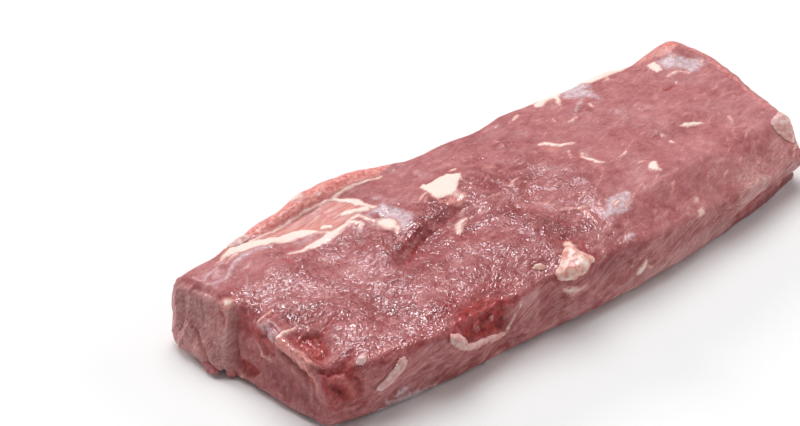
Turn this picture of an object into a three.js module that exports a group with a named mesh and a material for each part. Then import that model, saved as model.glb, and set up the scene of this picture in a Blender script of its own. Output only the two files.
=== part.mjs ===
// Lamb loin fillet: one trimmed piece of raw loin muscle that lies bone side up, cut square at both ends.
// Millimetres, +Z up. X runs along the fillet from its near cut end to its far one, and Y across it.
// The origin is the middle of the face that it rests on.
import * as THREE from "three";
import { mergeVertices } from "three/addons/utils/BufferGeometryUtils.js";

// Driving dimensions of the slab, before its relief
const LENGTH = 216;
const WIDTH = 80;
const THICKNESS = 23;
const TOP_ROUND = 2.8; // rounding of the upper edges, which a knife left fairly crisp
const BASE_ROUND = 4.5; // the lower edges sag and tuck under

// Steps of the surface: fine bands that turn round the edges, and plain ones between them
const BAND_STEPS = 3;
const LENGTH_STEPS = 64;
const WIDTH_STEPS = 19;
const HEIGHT_STEPS = 5;

// Outline and height at nine even stations from the near end to the far one, as shares of half the width
// and of the thickness. The strip muscle widens the left edge further on, as relief.
const LEFT_EDGE = [0.935, 1.03, 1.045, 1.04, 1.01, 1.02, 1.03, 1.02, 0.975];
const RIGHT_EDGE = [0.77, 0.9, 0.965, 0.94, 0.965, 0.97, 0.95, 0.9, 0.84];
const LEFT_HEIGHT = [1.0, 1.01, 1.01, 1.0, 1.0, 1.0, 0.99, 0.97, 0.97];
const RIGHT_HEIGHT = [0.93, 0.96, 0.98, 0.98, 0.99, 1.0, 0.99, 0.96, 0.93];
const CROWN = [0.02, 0.04, 0.05, 0.07, 0.07, 0.07, 0.06, 0.04, 0.02];
const SHOULDER = [0.04, 0.05, 0.05, 0.07, 0.11, 0.19, 0.27, 0.33, 0.3]; // the right shoulder's fall
const BELLY = [0.0, -0.03, -0.05, 0.04, 0.05, 0.04, -0.03, -0.11, -0.15]; // the right side's swell low down

// How far each end face stands out beyond half the length, at five even stations from right to left
const NEAR_TOP = [-2.0, -2.0, -2.6, -2.0, 3.6];
const NEAR_FOOT = [-1.6, 1.2, 3.2, 6.0, 7.6];
const FAR_TOP = [-9.0, -4.8, -1.0, 3.2, -1.0];
const FAR_FOOT = [-9.5, -5.5, -2.5, 1.4, -1.0];

const SHOULDER_START = 0.55; // where the shoulder begins, as a share of the half width
const BELLY_HEIGHT = 0.3; // the swell's height above the table, as a share of the thickness
const BELLY_REACH = 0.28; // and how far up and down it fades
const LEFT_TUCK = 2.5; // the left side leans in this far at its foot
const END_REACH = 0.72; // the end faces' unevenness fades out at this share of the half length
const REST_MARGIN = 4; // no relief below this height, so that the fillet rests flat

const HALF = new THREE.Vector3(LENGTH / 2, WIDTH / 2, THICKNESS / 2);

// A smooth curve through evenly spaced values, read at a share from -1 to 1.
function along(values) {
  const last = values.length - 1;
  return (share) => {
    const place = THREE.MathUtils.clamp(((share + 1) / 2) * last, 0, last);
    const i = Math.min(Math.floor(place), last - 1);
    const t = place - i;
    const [a, b, c, d] = [-1, 0, 1, 2].map((k) => values[THREE.MathUtils.clamp(i + k, 0, last)]);
    return b + 0.5 * t * (c - a + t * (2 * a - 5 * b + 4 * c - d + t * (3 * (b - c) + d - a)));
  };
}

const leftEdge = along(LEFT_EDGE);
const rightEdge = along(RIGHT_EDGE);
const leftHeight = along(LEFT_HEIGHT);
const rightHeight = along(RIGHT_HEIGHT);
const crown = along(CROWN);
const shoulder = along(SHOULDER);
const belly = along(BELLY);
const nearTop = along(NEAR_TOP);
const nearFoot = along(NEAR_FOOT);
const farTop = along(FAR_TOP);
const farFoot = along(FAR_FOOT);

// Grid lines from -half to half, closer together in the band that turns round each edge.
function gridLines(half, round, coreSteps) {
  const lines = [];
  for (let i = 0; i < BAND_STEPS; i++) lines.push(-half + (round * i) / BAND_STEPS);
  for (let i = 0; i <= coreSteps; i++) lines.push(-half + round + (2 * (half - round) * i) / coreSteps);
  for (let i = 1; i <= BAND_STEPS; i++) lines.push(half - round + (round * i) / BAND_STEPS);
  return lines;
}

// A box of even steps whose vertices are moved to the grid lines and then round the edges.
function roundedSlab() {
  const lines = [
    gridLines(HALF.x, BASE_ROUND, LENGTH_STEPS),
    gridLines(HALF.y, BASE_ROUND, WIDTH_STEPS),
    gridLines(HALF.z, BASE_ROUND, HEIGHT_STEPS),
  ];
  const steps = lines.map((line) => line.length - 1);
  const slab = new THREE.BoxGeometry(2, 2, 2, ...steps);
  slab.deleteAttribute("normal");
  slab.deleteAttribute("uv");
  const place = slab.getAttribute("position");
  const point = new THREE.Vector3();
  const core = new THREE.Vector3();
  for (let i = 0; i < place.count; i++) {
    point.fromBufferAttribute(place, i);
    point.set(
      ...point.toArray().map((share, k) => lines[k][Math.round(((share + 1) / 2) * steps[k])]),
    );
    const round = point.z > 0 ? TOP_ROUND : BASE_ROUND;
    const inner = HALF.clone().subScalar(round);
    core.copy(point).clamp(inner.clone().negate(), inner);
    point.sub(core).setLength(round).add(core);
    place.setXYZ(i, ...point);
  }
  return mergeVertices(slab, 1e-4);
}

// Where a point of the plain slab lies on the fillet, before its relief.
function shaped(point) {
  const u = point.x / HALF.x;
  const v = point.y / HALF.y;
  const h = (point.z + HALF.z) / THICKNESS;
  const toLeft = (v + 1) / 2;
  const toRight = 1 - toLeft;

  const swell = Math.exp(-(((h - BELLY_HEIGHT) / BELLY_REACH) ** 2)) * belly(u) * toRight ** 2;
  const tuck = LEFT_TUCK * (1 - h) ** 2 * toLeft ** 2;
  const y = HALF.y * (v * (v > 0 ? leftEdge(u) : rightEdge(u)) - swell) - tuck;

  const sides = THREE.MathUtils.lerp(rightHeight(u), leftHeight(u), toLeft);
  const fall = THREE.MathUtils.smoothstep(-v, SHOULDER_START, 1) * shoulder(u) * h;
  const z = h * (sides + crown(u) * (1 - v * v) - fall) * THICKNESS;

  const near = THREE.MathUtils.lerp(nearFoot(v), nearTop(v), h);
  const far = THREE.MathUtils.lerp(farFoot(v), farTop(v), h);
  const end = THREE.MathUtils.smoothstep(Math.abs(u), END_REACH, 1);
  return new THREE.Vector3(point.x + end * (u < 0 ? -near : far), y, z);
}

// Relief by lobes: each is a soft mound or hollow with its centre, its reach each way and its rise.
// A turn, in degrees, swings it about Z.
const LOBES = [
  { what: "strip muscle on the left edge", at: [-46, 43, 21], reach: [27, 5.5, 8], turn: 4, rise: 6.2 },
  { what: "strip muscle's far end", at: [-30, 43, 20], reach: [11, 4.5, 7], turn: -6, rise: 2.2 },
  { what: "mound beyond the long crease", at: [-37, 9, 24], reach: [16, 7, 9], turn: 8, rise: 1.9 },
  { what: "sag below the long crease", at: [-34, -4, 24], reach: [20, 6, 9], turn: 8, rise: -0.9 },
  { what: "near hollow behind the lip", at: [-99, -18, 21], reach: [5.5, 7, 8], turn: 0, rise: -2.4 },
  { what: "near hollow's inner pocket", at: [-99, -5, 22], reach: [5, 4, 8], turn: 20, rise: -1.3 },
  { what: "near right corner scoop", at: [-101, -31, 19], reach: [5, 4, 6], turn: 30, rise: -2.2 },
  { what: "near right corner knob", at: [-101, -37, 14], reach: [9, 7, 7], turn: 0, rise: 1.6 },
  { what: "fat nub on the right shoulder", at: [-11, -40, 19], reach: [7, 6, 6], turn: 30, rise: 2.3 },
  { what: "dent beside the fat nub", at: [-23, -42, 15], reach: [5, 5, 8], turn: 0, rise: -2.2 },
  { what: "pocket above the curled skin", at: [-50, -41, 18], reach: [12, 6, 5], turn: 0, rise: -2.2 },
  { what: "curled skin's belly", at: [-52, -41, 9], reach: [13, 6, 4], turn: 0, rise: 1.6 },
  { what: "notch under the curled skin", at: [-40, -40, 4], reach: [7, 7, 6], turn: 0, rise: -3.6 },
  { what: "oval tag", at: [-86, -40, 17], reach: [7.5, 5, 3], turn: 0, rise: 1.6 },
  { what: "lift of the foot past the corner", at: [-79, -38, 3], reach: [10, 6, 5], turn: 0, rise: -3 },
  { what: "foot of the near right corner", at: [-97, -34, 4], reach: [9, 6, 5], turn: 0, rise: 1.6 },
  { what: "scrap at the near face's foot", at: [-111, 21, 3.5], reach: [6, 9, 4], turn: 0, rise: 2.8 },
  { what: "far left corner curl", at: [102, 35, 25], reach: [12, 9, 12], turn: 0, rise: 1.2 },
  { what: "dip before the far left corner", at: [84, 38, 22], reach: [10, 6, 10], turn: 0, rise: -2 },
  { what: "flap on the far right corner", at: [103, -27, 21], reach: [6, 7, 5], turn: 0, rise: 2.2 },
  { what: "hollow on the near face", at: [-108, -10, 10], reach: [6, 18, 8], turn: 0, rise: -1.4 },
  { what: "ledge of the near face", at: [-108, 22, 11], reach: [6, 12, 9], turn: 0, rise: 1.2 },
];

// Relief by lines: each is a ridge or a groove along a few points, with its breadth and its rise.
const LINES = [
  {
    what: "long crease",
    points: [[-53, -3, 24], [-44, 0, 24], [-36, 3, 25], [-20, 5, 25]],
    breadth: 3.6,
    rise: -1.8,
  },
  {
    what: "seam inside the strip muscle",
    points: [[-86, 37, 23], [-60, 38, 24], [-26, 39, 24]],
    breadth: 3.2,
    rise: -1.1,
  },
  {
    what: "lip of the near edge",
    points: [[-104, 1, 23], [-105, -14, 23], [-106, -28, 22]],
    breadth: 3.4,
    rise: 1.5,
  },
  {
    what: "seam under the far right side",
    points: [[66, -37, 4], [76, -36, 6], [86, -34, 8], [100, -31, 5]],
    breadth: 2.8,
    rise: -1.8,
  },
  {
    what: "thin lobe below that seam",
    points: [[70, -36, 2], [86, -33, 4], [100, -30, 2]],
    breadth: 3,
    rise: 1.4,
  },
  {
    what: "lip of the curled skin",
    points: [[-62, -38, 18], [-55, -39, 12], [-42, -41, 11], [-36, -40, 17]],
    breadth: 3.2,
    rise: 1.3,
  },
];

function lobeRelief(point, { at, reach, turn, rise }) {
  const offset = new THREE.Vector3(...at).negate().add(point);
  offset.applyAxisAngle(new THREE.Vector3(0, 0, 1), THREE.MathUtils.degToRad(-turn));
  offset.divide(new THREE.Vector3(...reach));
  return rise * Math.exp(-offset.lengthSq());
}

function lineRelief(point, { points, breadth, rise }) {
  const nearest = new THREE.Vector3();
  const stretch = new THREE.Line3();
  let least = Infinity;
  for (let i = 0; i + 1 < points.length; i++) {
    stretch.start.set(...points[i]);
    stretch.end.set(...points[i + 1]);
    stretch.closestPointToPoint(point, true, nearest);
    least = Math.min(least, nearest.distanceTo(point));
  }
  return rise * Math.exp(-((least / breadth) ** 2));
}

// The muscle's own unevenness: waves of falling length and height that cross at odd angles.
const WAVES = [
  { length: 47, rise: 0.6, heading: 24 },
  { length: 31, rise: 0.4, heading: -41 },
  { length: 21, rise: 0.25, heading: 67 },
  { length: 15, rise: 0.15, heading: 8 },
];

function waveRelief(point) {
  return WAVES.reduce((sum, { length, rise, heading }, i) => {
    const angle = THREE.MathUtils.degToRad(heading);
    const way = point.x * Math.cos(angle) + point.y * Math.sin(angle) + point.z * 0.6;
    const across = point.y * Math.cos(angle) - point.x * Math.sin(angle) - point.z * 0.8;
    const turns = (2 * Math.PI) / length;
    return sum + rise * Math.sin(way * turns + i) * Math.cos(across * turns * 0.7 + 2 * i);
  }, 0);
}

function filletGeometry() {
  const geometry = roundedSlab();
  const place = geometry.getAttribute("position");
  const point = new THREE.Vector3();
  for (let i = 0; i < place.count; i++) {
    place.setXYZ(i, ...shaped(point.fromBufferAttribute(place, i)));
  }
  geometry.computeVertexNormals();
  const normals = geometry.getAttribute("normal").clone();
  const outward = new THREE.Vector3();
  for (let i = 0; i < place.count; i++) {
    point.fromBufferAttribute(place, i);
    const lines = LINES.reduce((sum, line) => sum + lineRelief(point, line), 0);
    const lobes = LOBES.reduce((sum, lobe) => sum + lobeRelief(point, lobe), 0);
    const fade = THREE.MathUtils.smoothstep(point.z, 0.2, REST_MARGIN);
    outward.fromBufferAttribute(normals, i).multiplyScalar(fade * (lines + lobes + waveRelief(point)));
    point.add(outward);
    place.setXYZ(i, point.x, point.y, Math.max(point.z, 0));
  }
  geometry.computeBoundingBox();
  const { min, max } = geometry.boundingBox;
  geometry.translate(-(min.x + max.x) / 2, -(min.y + max.y) / 2, -min.z);
  geometry.computeVertexNormals();
  return geometry;
}

const rawLamb = new THREE.MeshStandardMaterial({ color: 0xb5686a, roughness: 0.42, metalness: 0 });
rawLamb.name = "raw_lamb";

const fillet = new THREE.Mesh(filletGeometry(), rawLamb);
fillet.name = "fillet";

const loin = new THREE.Group();
loin.add(fillet);

export default loin;
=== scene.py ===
import math

import bpy
import numpy as np
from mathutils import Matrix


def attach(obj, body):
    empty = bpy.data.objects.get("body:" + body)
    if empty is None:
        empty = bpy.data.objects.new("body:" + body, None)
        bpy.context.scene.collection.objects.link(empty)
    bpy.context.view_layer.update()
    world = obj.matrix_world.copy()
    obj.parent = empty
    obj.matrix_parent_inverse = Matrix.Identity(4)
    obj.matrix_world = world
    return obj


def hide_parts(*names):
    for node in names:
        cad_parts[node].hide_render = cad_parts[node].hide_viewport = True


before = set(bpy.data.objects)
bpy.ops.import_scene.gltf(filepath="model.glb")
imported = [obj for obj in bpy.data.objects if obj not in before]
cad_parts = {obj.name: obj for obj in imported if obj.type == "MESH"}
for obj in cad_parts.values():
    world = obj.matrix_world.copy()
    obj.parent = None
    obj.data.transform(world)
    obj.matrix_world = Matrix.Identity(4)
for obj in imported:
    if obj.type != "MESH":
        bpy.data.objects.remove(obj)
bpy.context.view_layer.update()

# Camera. It stands off the near left corner and looks down along the fillet. A long lens from
# 0.85 m keeps the long edges nearly parallel, as the photograph shows them.
CAMERA_AZIMUTH = math.radians(-40.0)
CAMERA_ELEVATION = math.radians(35.0)
CAMERA_DISTANCE = 0.85
CAMERA_TARGET = (-0.0222, 0.0289, 0.0102)
LENS_MM = 116.0
SENSOR_MM = 36.0
NEAREST_SEEN = 0.01

bpy.ops.object.select_all(action="DESELECT")
bpy.ops.object.camera_add(
    location=(
        CAMERA_TARGET[0] + CAMERA_DISTANCE * math.sin(CAMERA_AZIMUTH) * math.cos(CAMERA_ELEVATION),
        CAMERA_TARGET[1] - CAMERA_DISTANCE * math.cos(CAMERA_AZIMUTH) * math.cos(CAMERA_ELEVATION),
        CAMERA_TARGET[2] + CAMERA_DISTANCE * math.sin(CAMERA_ELEVATION),
    ),
    rotation=(math.pi / 2 - CAMERA_ELEVATION, 0.0, CAMERA_AZIMUTH),
)
camera = bpy.context.object
camera.name = "camera"
camera.data.lens = LENS_MM
camera.data.sensor_width = SENSOR_MM
camera.data.clip_start = NEAREST_SEEN
bpy.context.scene.camera = camera

# Studio. White paper on the bench under one wide softbox, as for a packshot: the paper burns out
# to white and the cut faces get only what it throws back. Two weak fills graze the far wall and
# the near end, and a small lamp behind, which lights gloss only, makes the wet specks.
PAPER_WHITE = "#f7f7f7"
PAPER_SIZE = 12.0
PAPER_HEIGHT = -0.0002
SURROUND_STRENGTH = 0.26
# Each lamp is its azimuth, elevation and angle in degrees, its strength and its colour.
LAMPS = {
    "softbox": (150.0, 66.0, 52.0, 2.15, "#ffffff"),
    "right_fill": (75.0, 18.0, 40.0, 0.75, "#ffffff"),
    "left_fill": (-168.0, 21.0, 20.0, 1.35, "#ffffff"),
    "speck_lamp": (146.0, 57.0, 18.0, 4.0, "#f8f4fa"),
}


def linear(hex_colour):
    """An sRGB hex colour as linear red, green, blue and 1."""
    parts = [int(hex_colour[i : i + 2], 16) / 255 for i in (1, 3, 5)]
    return (*[c / 12.92 if c <= 0.04045 else ((c + 0.055) / 1.055) ** 2.4 for c in parts], 1.0)


def add(tree, kind, settings=None, inputs=None, output=0):
    """Adds a node with its properties, and its inputs as values or links, and returns one of its outputs."""
    made = tree.nodes.new(kind)
    for name, value in (settings or {}).items():
        setattr(made, name, value)
    for name, value in (inputs or {}).items():
        if isinstance(value, bpy.types.NodeSocket):
            tree.links.new(value, made.inputs[name])
        else:
            made.inputs[name].default_value = value
    return made.outputs[output]


world = bpy.data.worlds.new("white_studio")
world.use_nodes = True
surround = world.node_tree.nodes["Background"]
surround.inputs["Color"].default_value = (1.0, 1.0, 1.0, 1.0)
surround.inputs["Strength"].default_value = SURROUND_STRENGTH
bpy.context.scene.world = world
bpy.context.scene.view_settings.view_transform = "Standard"

for name, (azimuth, elevation, angle, strength, tint) in LAMPS.items():
    bpy.ops.object.light_add(
        type="SUN",
        location=(0.0, 0.0, 1.0),
        rotation=(math.radians(90.0 - elevation), 0.0, math.radians(azimuth)),
    )
    lamp = bpy.context.object
    lamp.name = name
    lamp.data.energy = strength
    lamp.data.angle = math.radians(angle)
    lamp.data.color = linear(tint)[:3]
    lamp.visible_diffuse = name != "speck_lamp"
    lamp.visible_glossy = name == "speck_lamp"

bpy.ops.mesh.primitive_plane_add(size=PAPER_SIZE, location=(0.0, 0.0, PAPER_HEIGHT))
paper = bpy.context.object
paper.name = "studio_paper"
matte_paper = bpy.data.materials.new("matte_white_paper")
matte_paper.use_nodes = True
shader = matte_paper.node_tree.nodes["Principled BSDF"]
shader.inputs["Base Color"].default_value = linear(PAPER_WHITE)
shader.inputs["Roughness"].default_value = 0.8
shader.inputs["Specular IOR Level"].default_value = 0.1
paper.data.materials.append(matte_paper)

# The trimmed loin itself: one long muscle, bone side up, with the thin strip muscle along its left
# edge. Raw lamb, knife cut at both ends. It starts as the CAD solid on an even grid, and every
# vertex is then moved by the cuts, folds, fibres and fat that the surface shows.
MM = 0.001
WELD = 0.00001
GRID = 0.64
UNDERSIDE_BELOW = 0.4
SKIN_THICK = 0.35
FIBRE = np.array([0.93, 0.12, 0.34])
FIBRE /= np.linalg.norm(FIBRE)
LONG_WAY = np.array([0.98, 0.2, 0.0])
DOWN = np.array([0.0, 0.3, 1.0])

bpy.ops.object.select_all(action="DESELECT")
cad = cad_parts["fillet"]
body = cad.copy()
body.data = cad.data.copy()
body.name = "loin_meat"
body.parent = None
bpy.context.scene.collection.objects.link(body)
bpy.context.view_layer.objects.active = body
body.select_set(True)
bpy.ops.object.mode_set(mode="EDIT")
bpy.ops.mesh.select_all(action="SELECT")
bpy.ops.mesh.remove_doubles(threshold=WELD)
bpy.ops.object.mode_set(mode="OBJECT")
for name, kind, settings in (
    ("even_grid", "REMESH", {"mode": "VOXEL", "voxel_size": GRID * MM}),
    ("coarser_underside", "DECIMATE", {"ratio": 0.62, "vertex_group": "underside"}),
    ("soften_facets", "SMOOTH", {"factor": 0.5, "iterations": 8}),
):
    if kind == "DECIMATE":
        flat_below = [v.index for v in body.data.vertices if v.co.z < UNDERSIDE_BELOW * MM]
        body.vertex_groups.new(name="underside").add(flat_below, 1.0, "REPLACE")
    modifier = body.modifiers.new(name, kind)
    for key, value in settings.items():
        setattr(modifier, key, value)
    bpy.ops.object.modifier_apply(modifier=name)
bpy.ops.object.shade_smooth()

mesh = body.data
numbers = np.empty(len(mesh.vertices) * 3)
mesh.vertices.foreach_get("co", numbers)
place = numbers.reshape(-1, 3) / MM
mesh.vertex_normals.foreach_get("vector", numbers)
facing = numbers.reshape(-1, 3).copy()

dice = np.random.default_rng(11)
SLOPES = dice.normal(size=(4096, 3))
SLOPES /= np.linalg.norm(SLOPES, axis=1)[:, None]


def lumps(points, size, seed):
    """Smooth noise, about -1 to 1, whose lumps are that size in mm."""
    cells = points / size + seed * 7.31
    low = np.floor(cells).astype(np.int64)
    part = cells - low
    ease = part**3 * (part * (part * 6 - 15) + 10)
    total = np.zeros(len(points))
    for corner in ((x, y, z) for x in (0, 1) for y in (0, 1) for z in (0, 1)):
        key = low + corner
        key = key[:, 0] * 73856093 ^ key[:, 1] * 19349663 ^ key[:, 2] * 83492791
        slope = SLOPES[((key ^ (key >> 11)) * 40503 >> 5) & 4095]
        share = np.prod(np.where(corner, ease, 1 - ease), axis=1)
        total += share * ((part - corner) * slope).sum(1)
    return total * 1.6


def drawn_out(points, way, stretch):
    """The points squeezed along a direction, so that lumps made on them come out that much longer."""
    way = way / np.linalg.norm(way)
    return points - np.outer(points @ way, way) * (1 - 1 / stretch)


def ramp(low, high, value):
    """0 below low, 1 above high, and smooth between."""
    t = np.clip((value - low) / (high - low), 0, 1)
    return t * t * (3 - 2 * t)


def depth_in(flat, points):
    """How far inside a mark each point is, in mm: a line of (a, b, half width) or an outline of (a, b)."""
    pts = np.array(points, float)
    result = np.full(len(flat), -9.0)
    reach = 3.0 + (pts[:, 2].max() if pts.shape[1] == 3 else 0)
    near = np.all((flat > pts[:, :2].min(0) - reach) & (flat < pts[:, :2].max(0) + reach), axis=1)
    spot = flat[near]
    if not len(spot):
        return result
    line = pts.shape[1] == 3
    best = np.full(len(spot), -9.0 if line else 9.0)
    inside = np.zeros(len(spot), bool)
    ends = zip(pts[:-1], pts[1:]) if line else zip(pts, np.roll(pts, -1, 0))
    for a, b in ends:
        leg = b[:2] - a[:2]
        t = np.clip(((spot - a[:2]) @ leg) / max(leg @ leg, 1e-9), 0, 1)
        gap = np.hypot(*(spot - a[:2] - t[:, None] * leg).T)
        if line:
            best = np.maximum(best, a[2] + t * (b[2] - a[2]) - gap)
        else:
            best = np.minimum(best, gap)
            crosses = (a[1] > spot[:, 1]) != (b[1] > spot[:, 1])
            at = a[0] + (spot[:, 1] - a[1]) / (b[1] - a[1] if b[1] != a[1] else 1e-9) * (b[0] - a[0])
            inside ^= crosses & (spot[:, 0] < at)
    result[near] = best if line else np.where(inside, best, -best)
    return result


# The far right foot is drawn out, because the photograph shows it plumb under the shoulder: in mm,
# how far it goes outwards, how far its sole is tucked in and how far the wall above that bulges.
FOOT_OUT = 5.0
FOOT_TUCK = 2.0
FOOT_BULGE = 2.4
x, y, z = place.T.copy()
foot = ramp(82, 100, x) * ramp(-14, -30, y)
place[:, 0] += FOOT_OUT * foot * ramp(14, 9, z)
place[:, 1] += foot * (FOOT_TUCK * ramp(6, 3, z) - FOOT_BULGE * ramp(4.5, 6.5, z) * ramp(12, 9, z))

# A mark's edge wanders by up to half a millimetre. It shows only on the side that it belongs to.
wobble = np.stack([lumps(place, 2.4, s) * 0.5 + lumps(place, 1.1, s + 5) * 0.22 for s in (1, 2, 3)], axis=1)
marked = place + wobble
seen_from = {
    "top": (marked[:, [0, 1]], ramp(0.25, 0.5, facing[:, 2])),
    "side": (marked[:, [0, 2]], ramp(0.3, 0.55, -facing[:, 1])),
    "end": (marked[:, [1, 2]], ramp(0.35, 0.6, -facing[:, 0])),
}

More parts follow.
